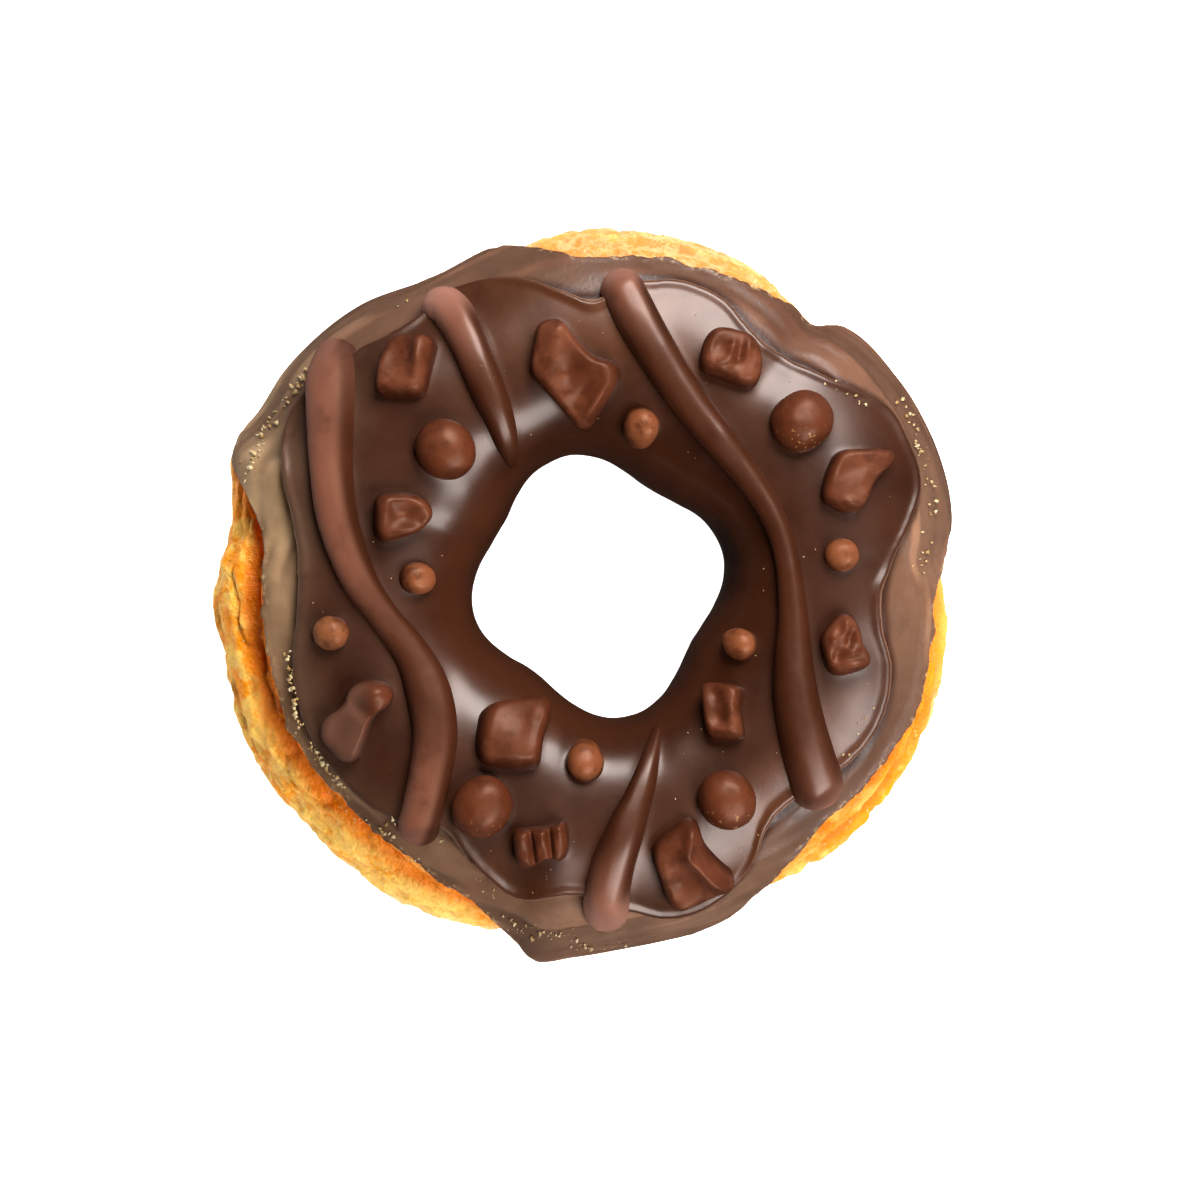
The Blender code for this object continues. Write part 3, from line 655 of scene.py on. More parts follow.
def fried_crust():
    """Golden crust, pale low on the sides and browner beneath. Painted shade: amber in creases and just
    under the coat's edge, and browner on the side that the lamp behind lights.
    """
    s = Shader("fried_crust", 0.4, {"Specular IOR Level": 0.22, "Subsurface Weight": 0.08,
                                    "Subsurface Scale": 0.0012, "Subsurface Radius": (1.0, 0.45, 0.15)})
    patches = s.math("ADD", s.noise(4.5, 4.0, 0.6, 0.6), s.times(s.noise(1.3, 5.0, 0.65), 0.6))
    patches = s.math("ADD", patches, s.times(s.mark("golden"), 0.2))
    colour = s.mix(s.span(patches, 0.8, 1.02), ORANGE, GOLD)
    # Painted shade: a deeper amber in the creases.
    colour = s.mix(s.span(s.mark("crease_shade"), -0.9, 0.1, 0.85, 0.0), colour, SHADE_AMBER)
    # Painted shade: amber just under the coat's edge.
    shade_by_coat = s.times(s.mark("shade_under_coat"), s.span(s.noise(3.0, 3.0), 0.2, 0.55))
    colour = s.mix(shade_by_coat, colour, SHADE_AMBER)
    pale = s.times(s.mark("pale"), s.span(s.noise(3.5, 4.0, 0.6), 0.25, 0.6, 0.45, 1.0))
    colour = s.mix(pale, colour, PALE_CRUST)
    # Painted shade: browner on the side that the lamp behind lights.
    baked = s.times(s.mark("baked"), s.span(s.noise(2.6, 4.0, 0.6), 0.25, 0.6, 0.55, 1.0))
    shade_tone = s.mix(s.span(s.noise(1.6, 4.0), 0.42, 0.6), SHADE_BROWN, SHADE_TAN)
    colour = s.mix(baked, colour, shade_tone)
    colour = s.mix(s.mark("fried"), colour, DEEP_FRIED)
    flecks = s.span(s.cells(1.3), 0.1, 0.22, 0.55, 0.0)
    colour = s.mix(s.times(flecks, s.span(s.noise(6.0), 0.45, 0.6)), colour, FLECKS)
    blisters = s.bump(s.noise(1.1, 4.0, 0.6), 0.5)
    pores = s.bump(s.noise(0.4, 3.0, 0.6), 0.1, blisters)
    rough = s.span(s.noise(1.2, 3.0), 0.38, 0.6, 0.22, 0.55)
    return s.finish(colour, pores, rough)


def dull_glaze():
    """Thin glaze: brown, greyish khaki with dust and painted sheen on the left, painted shade in its folds
    and painted shadow below the thick coat's rim, crumbly where it meets the bare dough.
    """
    s = Shader("dull_glaze", 0.42, {"Specular IOR Level": 0.3})
    colour = s.mix(s.span(s.noise(9.0, 3.0), 0.35, 0.65), GLAZE_DEEP, GLAZE_LIGHT)
    pale = s.times(s.mark("pale"), s.span(s.noise(5.0, 4.0, 0.6), 0.25, 0.7, 0.4, 1.0))
    colour = s.mix(pale, colour, GLAZE_BROWN)
    # Dust and painted sheen: khaki on the left.
    dust = s.times(s.mark("dusty"), s.span(s.noise(7.0, 3.0), 0.3, 0.65, 0.45, 1.0))
    colour = s.mix(dust, colour, GLAZE_KHAKI_DUST_AND_SHEEN)
    # Painted shade in the hollows between the folds.
    colour = s.mix(s.span(s.mark("fold_shade"), -0.1, 0.35, 0.6, 0.0), colour, GLAZE_FOLD_SHADE)
    # Painted shadow just below the thick coat's rim.
    colour = s.mix(s.mark("rim_shadow"), colour, GLAZE_RIM_SHADOW)
    crumbly = s.times(s.mark("edge"), s.span(s.noise(0.9, 4.0, 0.65), 0.52, 0.66))
    colour = s.mix(crumbly, colour, GLAZE_CRUMBLY)
    grain = s.bump(s.noise(0.5, 4.0, 0.6), 0.05)
    lumps = s.bump(s.times(s.noise(0.9, 4.0, 0.6), s.mark("edge")), 0.25, grain)
    rough = s.span(s.noise(2.0, 3.0), 0.3, 0.7, 0.34, 0.5)
    return s.finish(colour, lumps, rough)


def chocolate(name, deep, light, gloss, tones):
    """Satin chocolate: slow changes of tone, fine grain, and a few pits left by burst bubbles.

    Each tone is a mark on the mesh, the size of the patches that break it up, the noise at which they start
    and are full, and a colour.
    """
    roughness, level, coat = gloss
    s = Shader(name, roughness, {"Specular IOR Level": level, "Specular Tint": WARM_SHEEN,
                                 "Coat Weight": coat, "Coat Roughness": COAT_ROUGHNESS})
    colour = s.mix(s.span(s.noise(11.0, 4.0, 0.6), 0.35, 0.65), deep, light)
    for mark, size, least, most, tone in tones:
        share = s.times(s.mark(mark), s.span(s.noise(size, 3.0, 0.6), least, most))
        colour = s.mix(share, colour, tone)
    ripple = s.bump(s.noise(2.4, 2.0), 0.05)
    grain = s.bump(s.noise(0.35, 3.0, 0.6), 0.010, ripple)
    pitted = s.times(s.span(s.cells(2.6), 0.0, 0.1, 1.0, 0.0), s.span(s.noise(7.0), 0.52, 0.6))
    pits = s.bump(pitted, -0.04, grain)
    rough = s.span(s.noise(3.0, 4.0), 0.3, 0.7, roughness - 0.04, roughness + 0.06)
    return s.finish(colour, pits, rough)


def round_angles():
    return (np.arange(ROUND) * 360 / ROUND)[:, None]


def crust_relief(degrees, over):
    """How far the dough lies below its smooth form: deep creases, long wrinkles and small lumps."""
    depth = 0.0
    for level, sway, highest, deep, swells in CREASES:
        centre = level + sway * np.cos(np.radians(degrees - highest))
        centre = centre + 3.0 * noise(ring_place(degrees, 0 * over, 9.0, 1.0), 1.0, 2)
        strength = 0.6 + 0.4 * np.cos(np.radians(swells * (degrees - highest)))
        away = np.abs(over - centre) / (0.8 * CREASE_WIDTH)
        depth = depth + deep * strength * np.exp(-(away**2))
    length, width, deep, below = WRINKLES
    wrinkles = np.abs(noise(ring_place(degrees, over, length, width), 1.0, 3))
    depth = depth + deep * np.maximum(below - wrinkles, 0) / below
    length, width, deep = LUMPS
    depth = depth + deep * noise(ring_place(degrees, over, length, width), 1.0, 2)
    length, width, deep, below = PLEATS
    pleats = np.abs(noise(ring_place(degrees, over, length, width) + 5.0, 1.0, 2))
    depth = depth + deep * np.maximum(below - pleats, 0) / below
    edge = around(FIRST_COAT_EDGE, degrees)
    before, spread, deep = GROOVE
    depth = depth + deep * np.exp(-(((over - edge + before) / spread) ** 2))
    covered = ease((over - edge) / SMOOTH_FROM + 1)
    return -depth * (1 - 0.9 * ease(covered * 2 - 1))


def ring_place(degrees, over, round_mm, over_mm):
    """Place for noise whose lumps have one length round the ring and another over its section."""
    turn = LENGTHS_AT / round_mm
    angle = np.radians(degrees)
    up = over * DEGREE_OVER / over_mm
    return np.stack(np.broadcast_arrays(turn * np.cos(angle), turn * np.sin(angle), up), axis=-1)


def make_crust(finish):
    flat = np.degrees(np.arcsin((WAIST / (WAIST + FLAT_CUT)) ** (BASE_POWER / 2)))
    side = np.linspace(-flat, CRUST_FINE_TO, CRUST_ROWS)
    rest = np.linspace(CRUST_FINE_TO, 180 + flat, HIDDEN_ROWS)[1:]
    rows = np.concatenate([[-flat - 20], side, rest, [200 + flat]])
    degrees, over = np.meshgrid(round_angles(), rows, indexing="ij")
    below_top = ease((SIDE_TOP + 2 * SMOOTH_FROM - over) / SMOOTH_FROM)
    on_side = ease((over + flat + 2) / SMOOTH_FROM) * below_top
    relief = crust_relief(degrees, over) * on_side
    lower = 0.25 * noise(ring_place(degrees, over, 3.0, 3.0), 1.0, 3) * ease((over - 190) / 20)
    points = ring_point(degrees, over, relief + lower)
    sway = 5 * np.sin(np.radians(3 * degrees))
    pale = ease((16 + sway - over) / 22) * ease((over + 40) / 25)
    # Painted shade just under the thin coat's edge.
    shade_under_coat = np.exp(-(((over - around(FIRST_COAT_EDGE, degrees)) / 13.0) ** 2))
    fried = ease((-20 - over) / 40) * 0.8 + ease((over - 195) / 25) * 0.8
    golden = np.broadcast_to(np.cos(np.radians(degrees - GOLDEN_SIDE)), over.shape)
    golden = np.maximum(golden, np.cos(np.radians(degrees - GOLDEN_TOP)) - 0.2)
    # Painted shade follows the crease depth and the nearness to the coat's edge.
    marks = {"crease_shade": relief + 0.35, "pale": pale * (0.75 + 0.25 * golden), "shade_under_coat": shade_under_coat}
    # Painted shade on the side that the lamp behind lights.
    baked = np.exp(-((((degrees - SHADE_BEHIND_MIDDLE + 180) % 360 - 180) / SHADE_BEHIND_SPREAD) ** 2))
    marks.update(golden=golden, fried=np.minimum(fried, 1), baked=baked)
    return add_piece("crust", points, grid_faces(ROUND, len(rows)), finish, ["dough"], marks)


def ragged(degrees, size, depth):
    """Small uneven steps of an edge round the ring."""
    return depth * noise(ring_place(degrees, 0 * degrees, size, 1.0), 1.0, 3)


def shell(edge, end, top, rows, rim, under):
    """Angles over the section and heights of a coat's rows: its round rim, its top and its thin end."""
    near = np.linspace(0, 1, RIM_ROWS)[:-1] ** 1.5 * RIM_REACH
    far = np.linspace(0, 1, rows)
    over = np.concatenate([edge + near, edge + RIM_REACH + (end - edge - RIM_REACH) * far], axis=1)
    from_edge = (over - edge) / rim
    roundness = np.sqrt(1 - (1 - np.clip(from_edge, 0, 1)) ** 2)
    to_end = np.sqrt(1 - (1 - np.clip((end - over) / TAIL_REACH, 0, 1)) ** 2)
    height = under + (top - under) * roundness * to_end
    return over, height


def with_lower_side(top, lower, marks):
    """A surface's points with those of its lower side, where its marks are nothing."""
    nothing = np.zeros(lower.shape[:2])
    marks = {name: np.concatenate([value, nothing], axis=1) for name, value in marks.items()}
    return np.concatenate([top, lower], axis=1), marks


def coat_back(degrees, edge, end, level):
    """A coat's lower side, from its end in the hole back to its outer edge."""
    return ring_point(degrees, end + (edge - end) * np.linspace(0, 1, BACK_ROWS)[None, 1:-1], level)


def angle_patches(rows, turn, reach):
    """Strength from 0 to 1 of patches at an angle and a radius: dust, painted light and painted sheen."""
    total = 0.0
    for centre, spread, start, strength in rows:
        away = (turn - centre + 180) % 360 - 180
        total = total + strength * np.exp(-((away / spread) ** 2)) * ease((reach - start) / 7.0)
    return np.minimum(total, 1)


def make_glaze(finish):
    """The thin coat. It is fine on its visible outer band, and hidden under the thick coat beyond."""
    degrees = round_angles()
    edge = around(FIRST_COAT_EDGE, degrees) + ragged(degrees, 2.5, 1.6) + ragged(degrees, 0.8, 0.6)
    shown = over_at(degrees, around(SECOND_COAT_EDGE, degrees), SECOND_TOP) + 5.0
    end = FIRST_COAT_END + END_SWAY * np.sin(np.radians(5 * degrees)) + ragged(degrees, 3.0, 2.0)
    outer, height = shell(edge, shown, FIRST_TOP, GLAZE_ROWS, GLAZE_RIM, -TUCK)
    height[:, -1] = FIRST_TOP
    height[:, GLAZE_ROWS - 20:] = FIRST_TOP
    inner = shown + (end - shown) * np.linspace(0, 1, HIDDEN_ROWS)[None, 1:]
    over = np.concatenate([outer, inner], axis=1)
    tail = FIRST_TOP - (FIRST_TOP + TUCK) * ease((inner - end + 3.0) / 3.0)
    height = np.concatenate([height, tail], axis=1)
    crag = noise(ring_place(degrees, over, 1.1, 1.0), 1.0, 3)
    at_edge = 1 - ease((over - edge - 0.5) / 5.0)
    folds = noise(ring_place(degrees, over, 18.0, 2.4), 1.0, 2)
    away = over - edge
    relief = CRAG_DEPTH * at_edge * crag + FOLD_DEPTH * folds
    height = height + relief * ease(away / 3.0) * ease((end - over) / 6.0)
    # Painted shadow on the thin coat just below the thick coat's rim, strongest on the right.
    rim_shadow = ease((over - shown + 12.0) / 5.0) * ease(np.cos(np.radians(degrees - 20)) + 0.6)
    marks = {"edge": at_edge, "rim_shadow": rim_shadow, "fold_shade": folds}
    top, back = ring_point(degrees, over, height), coat_back(degrees, edge, end, -BACK_TUCK)
    points, marks = with_lower_side(top, back, marks)
    turn, reach = polar(points[..., 0], points[..., 1])
    marks.update(dusty=angle_patches(GLAZE_DUST_AND_SHEEN, turn, reach), pale=angle_patches(GLAZE_PALE, turn, reach))
    faces = grid_faces(ROUND, points.shape[1])
    return add_piece("glaze", points, faces, finish, ["first_coat"], marks)


def rounded(corners, bite, count):
    """Closed outline through the corners, each replaced by a short curve of count points."""
    corners = np.array(corners, float)
    outline = []
    for before, corner, after in zip(np.roll(corners, 1, axis=0), corners, np.roll(corners, -1, axis=0)):
        ends = []
        for other in (before, after):
            side = other - corner
            ends.append(corner + side * min(0.5, bite / np.linalg.norm(side)))
        for t in np.linspace(0, 1, count):
            outline.append((1 - t) ** 2 * ends[0] + 2 * t * (1 - t) * corner + t * t * ends[1])
    return np.array(outline)


def even_outline(outline, count):
    """Points at even steps along a closed outline."""
    closed = np.concatenate([outline, outline[:1]])
    length = np.concatenate([[0], np.cumsum(np.linalg.norm(np.diff(closed, axis=0), axis=1))])
    at = np.linspace(0, length[-1], count, endpoint=False)
    return np.stack([np.interp(at, length, closed[:, axis]) for axis in (0, 1)], axis=1)


def chunk_outline(row, count=72):
    (x, y, _), corners = row
    return even_outline(rounded(corners, CHUNK_ROUNDING, 6), count) + (x, y)


def strand_line(route, step):
    """Points along a strand: places, half widths and directions, with round ends."""
    marks = np.arange(len(route), dtype=float)
    fine = np.linspace(0, marks[-1], 600)
    x, y, width = (hermite(marks, column, fine) for column in np.array(route).T)
    length = np.concatenate([[0], np.cumsum(np.hypot(np.diff(x), np.diff(y)))])
    even = np.linspace(0, 1, int(length[-1] / step))
    at = length[-1] * (0.85 * even + 0.15 * (0.5 - 0.5 * np.cos(np.pi * even)))
    x, y, width = (np.interp(at, length, column) for column in (x, y, width))
    from_end = np.minimum(at, at[-1] - at)
    roundness = np.sqrt(1 - (1 - np.minimum(from_end / (width / 2), 1)) ** 2)
    half = width / 2 * np.maximum(roundness, STRAND_TIP)
    way = np.stack([np.gradient(x), np.gradient(y)], axis=1)
    way /= np.linalg.norm(way, axis=1)[:, None]
    return np.stack([x, y], axis=1), half, way


def gap_to_toppings(x, y):
    """Distance in plan from each point to the nearest bead, chunk or strand. Inside one it is negative."""
    place = np.stack([x, y], axis=-1).reshape(-1, 2)
    gap = np.full(len(place), 9.0)
    for bx, by, radius in SMALL_BEADS + LARGE_BEADS:
        gap = np.minimum(gap, np.hypot(place[:, 0] - bx, place[:, 1] - by) - radius)
    for row in CHUNKS:
        outline = chunk_outline(row)
        near = np.flatnonzero(np.all(np.abs(place - outline.mean(axis=0)) < 10.0, axis=1))
        ends = np.roll(outline, -1, axis=0)
        inside = np.zeros(len(near), bool)
        least = np.full(len(near), 9.0)
        for a, b in zip(outline, ends):
            along = b - a
            from_a = place[near] - a
            share = np.clip(from_a @ along / (along @ along), 0, 1)
            least = np.minimum(least, np.linalg.norm(from_a - share[:, None] * along, axis=1))
            crosses = (a[1] > place[near, 1]) != (b[1] > place[near, 1])
            if a[1] != b[1]:
                at = a[0] + (place[near, 1] - a[1]) / (b[1] - a[1]) * along[0]
                inside ^= crosses & (place[near, 0] < at)
        gap[near] = np.minimum(gap[near], np.where(inside, -least, least))
    for route in STRANDS:
        line, half, _ = strand_line(route, 0.8)
        for centre, reach in zip(line, half):
            near = np.flatnonzero(np.all(np.abs(place - centre) < reach + 3.0, axis=1))
            gap[near] = np.minimum(gap[near], np.linalg.norm(place[near] - centre, axis=1) - reach)
    return gap.reshape(x.shape)


def make_icing(finish):
    """The thick coat: a raised wavy rim, slow swells, and a soft fillet round each topping."""
    degrees = round_angles()
    edge = over_at(degrees, around(SECOND_COAT_EDGE, degrees) + ragged(degrees, 3.0, 0.15), SECOND_TOP)
    end = SECOND_COAT_END + END_SWAY * np.sin(np.radians(5 * degrees)) + ragged(degrees, 3.0, 2.0)
    over, height = shell(edge, end, SECOND_TOP, ICING_ROWS, ICING_RIM, FIRST_TOP - TUCK)
    away = (over - edge) * DEGREE_OVER
    soft_side = ease((np.cos(np.radians(degrees - SOFT_RIM_MIDDLE)) - 0.7) / 0.25)
    rim = RIM_HEIGHT * (1 - 0.8 * soft_side) * np.exp(-(((away - RIM_AT) / RIM_WIDTH) ** 2))
    swells = SWELL_DEPTH * noise(ring_place(degrees, over, 13.0, 9.0), 1.0, 2)
    flat_place = ring_point(degrees, over, SECOND_TOP)
    gap = gap_to_toppings(flat_place[..., 0], flat_place[..., 1])
    fillet = FILLET_HEIGHT * np.exp(-np.maximum(gap, 0.0) / FILLET_REACH)
    inner = ease(away / 0.9) * ease((end - over) / 6.0)
    height = height + rim * inner + (swells + fillet) * inner
    # Painted highlight: a pale line along the rim, weaker on the soft side.
    line = np.exp(-(((away - RIM_HIGHLIGHT_AT) / RIM_HIGHLIGHT_WIDTH) ** 2)) * (1 - 0.75 * soft_side)
    top, back = ring_point(degrees, over, height), coat_back(degrees, edge, end, FIRST_TOP - BACK_TUCK)
    points, marks = with_lower_side(top, back, {"rim": line})
    turn, reach = polar(points[..., 0], points[..., 1])
    faces = grid_faces(ROUND, points.shape[1])
    # Painted light on slopes that face the lamps, and painted sheen on the outer left.
    marks.update(dusty=angle_patches(PAINTED_WARM_LIGHT, turn, reach), grey=angle_patches(PAINTED_GREY_SHEEN, turn, reach))
    # Painted light: paler towards the hole.
    marks["inner"] = ease((HOLE_LIGHT_FROM - reach) / 6.0)
    return add_piece("icing", points, faces, finish, ["second_coat"], marks)


def coat_ground(x, y):
    """Height of what a strand lies on, from the second coat's top: lower beyond that coat's edge."""
    degrees, radius = polar(x, y)
    beyond = ease((radius - around(SECOND_COAT_EDGE, degrees) + 1.4) / 4.0)
    return (FIRST_TOP - SECOND_TOP) * beyond


def make_strand(number, route, finish):
    """A piped strand: a full, round-shouldered arch whose feet run into the coat."""
    line, half, way = strand_line(route, STRAND_STEP)
    sides = np.sin(np.linspace(-np.pi / 2, np.pi / 2, STRAND_SIDES))
    full, shoulder = ARCH_POWERS
    arch = (1 - np.abs(sides) ** full) ** shoulder
    left = np.stack([-way[:, 1], way[:, 0]], axis=1)
    place = line[:, None, :] + sides[None, :, None] * (half[:, None, None] * left[:, None, :])
    x, y = place[..., 0], place[..., 1]
    height = arch * (2 * half[:, None]) * STRAND_HEIGHT_TO_WIDTH
    height = height + 0.06 * noise(np.stack([x, y, 0 * x], axis=-1), 3.0, 2) * arch
    top = on_coat(x, y, height + coat_ground(x, y) - 0.15 * (1 - arch))
    feet = sides[::-1][2:-2:2]
    place = line[:, None, :] + feet[None, :, None] * (0.9 * half[:, None, None] * left[:, None, :])
    bottom = on_coat(place[..., 0], place[..., 1], FIRST_TOP - SECOND_TOP + 0.1)
    _, reach = polar(x, y)
    start, pale = DUST_AND_LIGHT_FROM[number - 1], TIP_HIGHLIGHT_SHARE[number - 1]
    # Dust and painted light, more to the left and further out; one flank stays dark as painted shade.
    dusty = ease((reach - start) / 10) * (0.4 + 0.6 * ease((26 - x) / 12)) * ease((0.75 - sides) / 0.5)
    # Painted highlight: paler beyond a radius near the tip.
    marks = {"dusty": dusty, "tip_highlight": pale * ease((reach - TIP_HIGHLIGHT_FROM) / 5)}
    points, marks = with_lower_side(top, bottom, marks)
    faces = loft_faces(len(line), points.shape[1])
    return add_piece(f"strand_{number}", points, faces, finish, ["second_coat"], marks)


def make_bead(name, place, node, finish):
    """A round bead, slightly flat on top and a little lumpy, set into the coat."""
    x, y, radius = place
    turns = np.linspace(0, 2 * np.pi, BEAD_TURNS, endpoint=False)
    tilts = np.radians(np.linspace(-60, 89, BEAD_ROWS))[:, None]
    across = np.cos(tilts) ** BEAD_SQUARENESS
    up = np.sign(tilts) * np.abs(np.sin(tilts)) ** BEAD_SQUARENESS
    up = BEAD_FLATNESS * up
    way = np.stack(np.broadcast_arrays(across * np.cos(turns), across * np.sin(turns), up), axis=-1)
    seed = np.array([x, y, 0.0])
    lumpy = radius * (1 + BEAD_LUMPS * noise(way * 1.6 + seed, 1.0, 2))[..., None] * way
    points = on_coat(x + lumpy[..., 0], y + lumpy[..., 1], BEAD_RISE * radius + lumpy[..., 2])
    dusty = ease((-points[..., 0] - 25) / 18)
    sparkle = ease((-0.1 - way[..., 1]) / 0.5) * ease((x + 16) / 6) * ease((radius - 2.5) / 0.5)
    faces = loft_faces(len(tilts), len(turns))
    # Painted shade: darker on the steep sides.
    marks = {"dusty": dusty, "sparkle": sparkle, "side": ease((0.5 - way[..., 2]) / 0.45)}
    marks["smear"] = np.full(dusty.shape, 0.7)
    return add_piece(name, points, faces, finish, [node], marks)


def make_chunk(number, row, relief, finish):
    """A broken chunk: steep sides, a rounded top edge, and the soft bumps and dents of its own top."""
    (x, y, height), _ = row
    outline = chunk_outline(row, CHUNK_TURNS)
    middle = outline.mean(axis=0)
    turn = np.linspace(0, np.pi / 2, CHUNK_SIDE_ROWS)
    side = 1 - CHUNK_SIDE * (1 - np.cos(turn) ** CHUNK_SQUARENESS)
    scale = np.concatenate([[0.97], side, np.linspace(1 - CHUNK_SIDE, 0.04, CHUNK_TOP_ROWS)[1:]])
    level = np.concatenate([[-0.4], np.sin(turn) ** CHUNK_SQUARENESS, np.ones(CHUNK_TOP_ROWS - 1)])
    plan = middle + (outline[None] - middle) * scale[:, None, None]
    px, py = plan[..., 0], plan[..., 1]
    tall = np.broadcast_to((level * height)[:, None], px.shape)
    top = 0.0 * tall
    for at_x, at_y, long, wide, angle, rise in relief:
        along_x, along_y = np.cos(np.radians(angle)), np.sin(np.radians(angle))
        dx, dy = px - x - at_x, py - y - at_y
        away = ((dx * along_x + dy * along_y) / long) ** 2 + ((dy * along_x - dx * along_y) / wide) ** 2
        top = top + RELIEF_DEPTH * rise * np.exp(-away)
    spot = np.stack([px, py, tall], axis=-1)
    grain = CHUNK_GRAIN * noise(spot, 1.6, 2) + CHUNK_SWELL * noise(spot, 3.8)
    rise = tall + top * ease((level[:, None] - 0.35) / 0.6) + grain * ease(level[:, None] * 3)
    points = on_coat(px, py, rise)
    dusty = np.full(px.shape, 0.9 if number == VEILED_CHUNK else 0.0) * ease((x + 2.4 - px) / 2.0)
    faces = loft_faces(len(scale), len(outline))
    # Painted shade: darker on the steep sides.
    side = np.broadcast_to(0.9 * ease((0.92 - level[:, None]) / 0.5), px.shape)
    smear = 0.0 if number == VEILED_CHUNK else 0.8
    marks = {"dusty": dusty, "side": side, "smear": np.full(px.shape, smear)}
    name, node = f"piece_{number:02d}", f"chunk_{number:02d}"
    return add_piece(name, points, faces, finish, [node], marks)


def uppermost(x, y):
    """Top of whatever coat lies uppermost at a place."""
    degrees, radius = polar(x, y)
    return np.where(radius < around(SECOND_COAT_EDGE, degrees), SECOND_TOP, FIRST_TOP)


def make_crumbs(finish):
    """Crumbs along the coats' edges and specks of dust over the icing, all small broken lumps."""
    draw = np.random.default_rng(23)
    spots = []
    for x0, y0, x1, y1, stray, count, largest in CRUMB_TRAILS:
        share = draw.uniform(0, 1, count)[:, None]
        place = np.array([x0, y0]) + share * np.array([x1 - x0, y1 - y0])
        place = place + draw.normal(0, 0.6 * stray, (count, 2))
        size = largest * draw.uniform(0.25, 1.0, count) ** 2 + CRUMB_LEAST
        spots.append(np.column_stack([place, size]))
    angle, radius = np.radians(draw.uniform(0, 360, DUST_COUNT)), draw.uniform(*DUST_REACH, DUST_COUNT)
    size = draw.uniform(*DUST_SIZE, DUST_COUNT)
    dust = np.column_stack([HOLE_X + radius * np.cos(angle), HOLE_Y + radius * np.sin(angle), size])
    spots = np.concatenate(spots + [dust])
    degrees, reach = polar(spots[:, 0], spots[:, 1])
    middle, half = band(degrees)
    over = over_at(degrees, reach, uppermost(spots[:, 0], spots[:, 1]))
    on_coats = (over > around(FIRST_COAT_EDGE, degrees) + 1.5) & (reach < middle + half + FIRST_TOP - 0.2)
    spots = spots[on_coats & (gap_to_toppings(spots[:, 0], spots[:, 1]) > 0.1)]
    points, faces = [], []
    for x, y, size in spots:
        corners = draw.normal(0, 1, (8, 3))
        corners *= size / 2 / np.linalg.norm(corners, axis=1)[:, None]
        corners[:, :2] += (x, y)
        lump = bmesh.new()
        made = [lump.verts.new(corner) for corner in corners]
        bmesh.ops.convex_hull(lump, input=made)
        start = len(points)
        lump.verts.index_update()
        coat = float(uppermost(x, y))
        points += [on_coat(v.co.x, v.co.y, v.co.z + size * 0.25, coat) for v in lump.verts]
        faces += [[start + v.index for v in face.verts] for face in lump.faces]
        lump.free()
    return add_piece("crumbs", np.array(points), faces, finish)


def crumb_finish():
    """Dry crumbs, straw to pale gold."""
    s = Shader("dry_crumbs", 0.6, {"Specular IOR Level": 0.3})
    colour = s.mix(s.span(s.noise(1.2, 2.0), 0.35, 0.65), STRAW, PALE_GOLD)
    return s.finish(colour, s.bump(s.noise(0.2, 3.0), 0.03))


def add_light(name, turn, lean, distance, size, power):
    """A square soft lamp that faces the doughnut."""
    data = bpy.data.lights.new(name, "AREA")
    data.energy = power
    data.size = size
    turn, lean = np.radians(turn), np.radians(lean)
    way = np.array([np.sin(lean) * np.cos(turn), np.sin(lean) * np.sin(turn), np.cos(lean)])
    lamp = new_object(name, data)
    lamp.location = distance * way
    lamp.rotation_euler = (lean, 0.0, turn + np.pi / 2)


def make_floor():
    """A plain white floor that glows like a light table, and that gloss doesn't reflect."""
    mesh = bpy.data.meshes.new("floor")
    corners = [(-FLOOR_REACH, -FLOOR_REACH), (FLOOR_REACH, -FLOOR_REACH)]
    corners += [(-x, -y) for x, y in corners]
    mesh.from_pydata([(x, y, 0) for x, y in corners], [], [(0, 1, 2, 3)])
    floor = new_object("floor", mesh)
    s = Shader("floor", 0.9, {"Specular IOR Level": 0.1})
    path = s.node("ShaderNodeLightPath")
    dull = s.math("SUBTRACT", 1.0, path.outputs["Is Glossy Ray"])
    s.link(s.times(dull, FLOOR_GLOW), s.bsdf.inputs["Emission Strength"])
    s.bsdf.inputs["Emission Color"].default_value = (1.0, 1.0, 1.0, 1.0)
    tone = s.mix(path.outputs["Is Glossy Ray"], (FLOOR_TONE,) * 3, (FLOOR_TONE_IN_GLOSS,) * 3)
    s.link(tone, s.bsdf.inputs["Base Color"])
    mesh.materials.append(s.material)


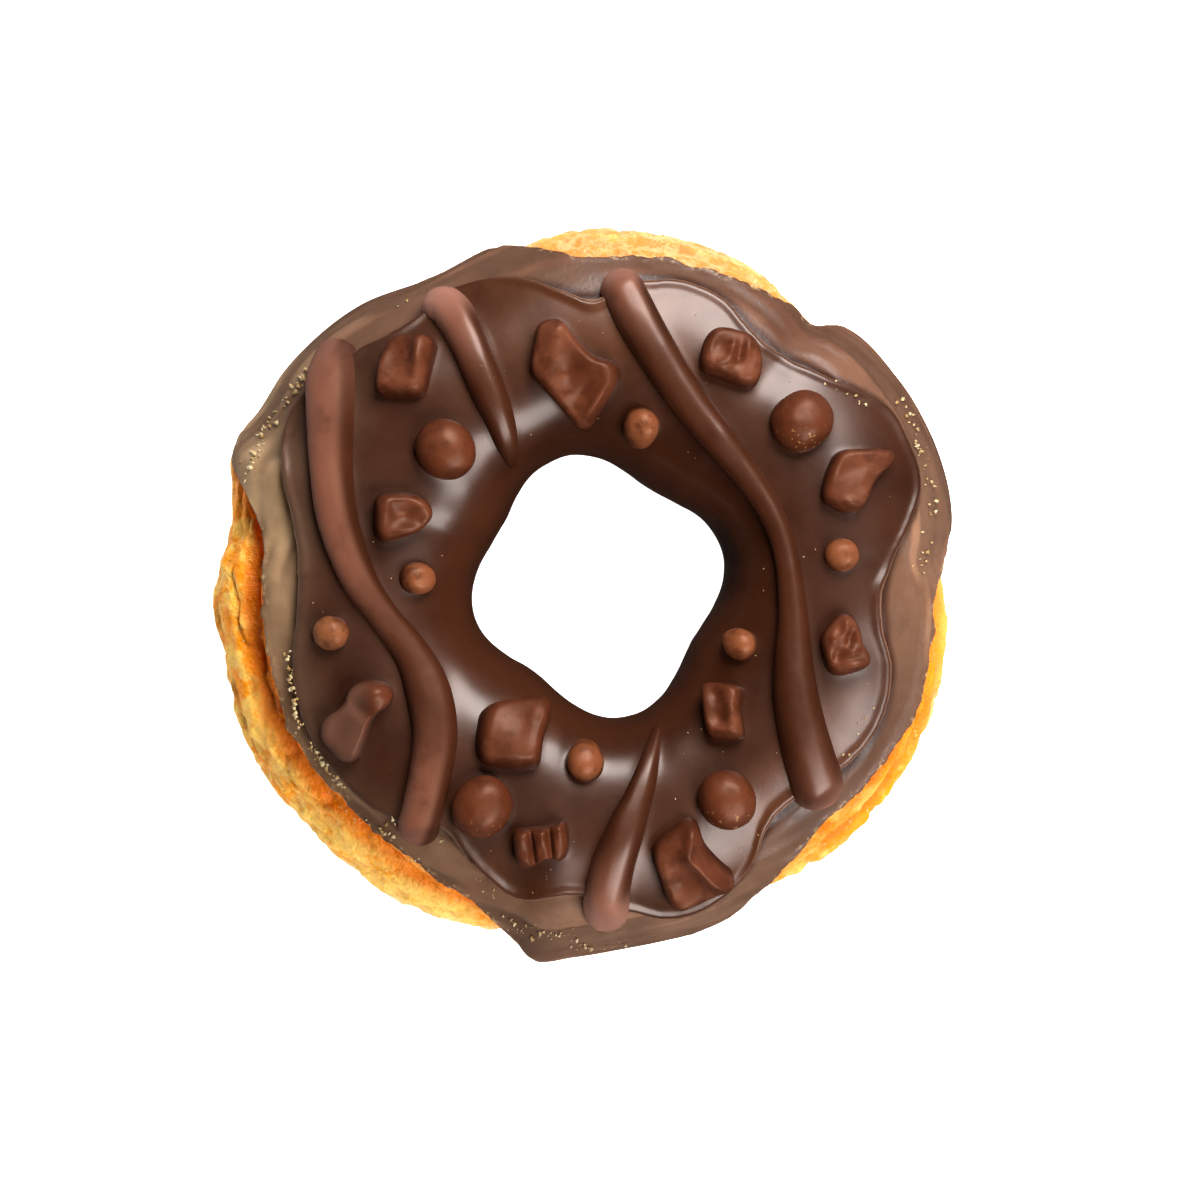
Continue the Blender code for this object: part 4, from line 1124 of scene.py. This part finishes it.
def make_surround():
    """A surround that is bright at the horizon and dim overhead, and darker where gloss reflects it."""
    world = bpy.data.worlds.new("surround")
    bpy.context.scene.world = world
    world.use_nodes = True
    tree = world.node_tree
    split = tree.nodes.new("ShaderNodeSeparateXYZ")
    tree.links.new(tree.nodes.new("ShaderNodeTexCoord").outputs["Generated"], split.inputs[0])
    choose = tree.nodes.new("ShaderNodeMix")
    tree.links.new(tree.nodes.new("ShaderNodeLightPath").outputs["Is Glossy Ray"], choose.inputs[0])
    for number, values in enumerate((SURROUND, SURROUND_IN_GLOSS)):
        fade = tree.nodes.new("ShaderNodeMapRange")
        tree.links.new(split.outputs["Z"], fade.inputs["Value"])
        for socket, value in zip(("From Min", "From Max", "To Min", "To Max"), values):
            fade.inputs[socket].default_value = value
        tree.links.new(fade.outputs["Result"], choose.inputs[2 + number])
    tree.links.new(choose.outputs[0], tree.nodes["Background"].inputs["Strength"])


def make_stage():
    """White floor, a pale surround, and two soft lamps on the right, behind and in front."""
    make_floor()
    make_surround()
    for lamp in LAMPS:
        add_light(*lamp)


def make_camera():
    data = bpy.data.cameras.new("camera")
    data.sensor_width = SENSOR_MM
    data.lens = SENSOR_MM * VIEW_DISTANCE / VIEW_WIDTH
    data.clip_end = 20.0
    camera = new_object("camera", data)
    x, y = VIEW_MIDDLE
    camera.location = (x * METRES, y * METRES, (WAIST + VIEW_DISTANCE) * METRES)
    bpy.context.scene.camera = camera
    bpy.context.scene.view_settings.view_transform = "Standard"


def main():
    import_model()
    make_camera()
    make_stage()
    icing = chocolate("icing_chocolate", ICING_DEEP, ICING_LIGHT, ICING_GLOSS, ICING_TONES)
    piped = chocolate("piped_chocolate", PIPED_DEEP, PIPED_LIGHT, PIPED_GLOSS, PIPED_TONES)
    dull = chocolate("dull_piped_chocolate", PIPED_DEEP, PIPED_LIGHT, DULL_GLOSS, PIPED_TONES)
    milk = chocolate("milk_chocolate", MILK_DEEP, MILK_LIGHT, MILK_GLOSS, MILK_TONES)
    small = chocolate("pale_chocolate", PALE_DEEP, PALE_LIGHT, MILK_GLOSS, MILK_TONES)
    broken = chocolate("broken_chocolate", BROKEN_DEEP, BROKEN_LIGHT, BROKEN_GLOSS, BROKEN_TONES)
    make_crust(fried_crust())
    make_glaze(dull_glaze())
    make_icing(icing)
    for number, route in enumerate(STRANDS, 1):
        make_strand(number, route, dull if number == DULL_STRAND else piped)
    for number, place in enumerate(SMALL_BEADS, 1):
        make_bead(f"dot_{number}", place, "second_coat", small)
    for number, place in enumerate(LARGE_BEADS, 1):
        make_bead(f"round_{number}", place, f"bead_{number:02d}", milk)
    for number, (row, relief) in enumerate(zip(CHUNKS, CHUNK_RELIEF), 1):
        make_chunk(number, row, relief, broken)
    make_crumbs(crumb_finish())


main()
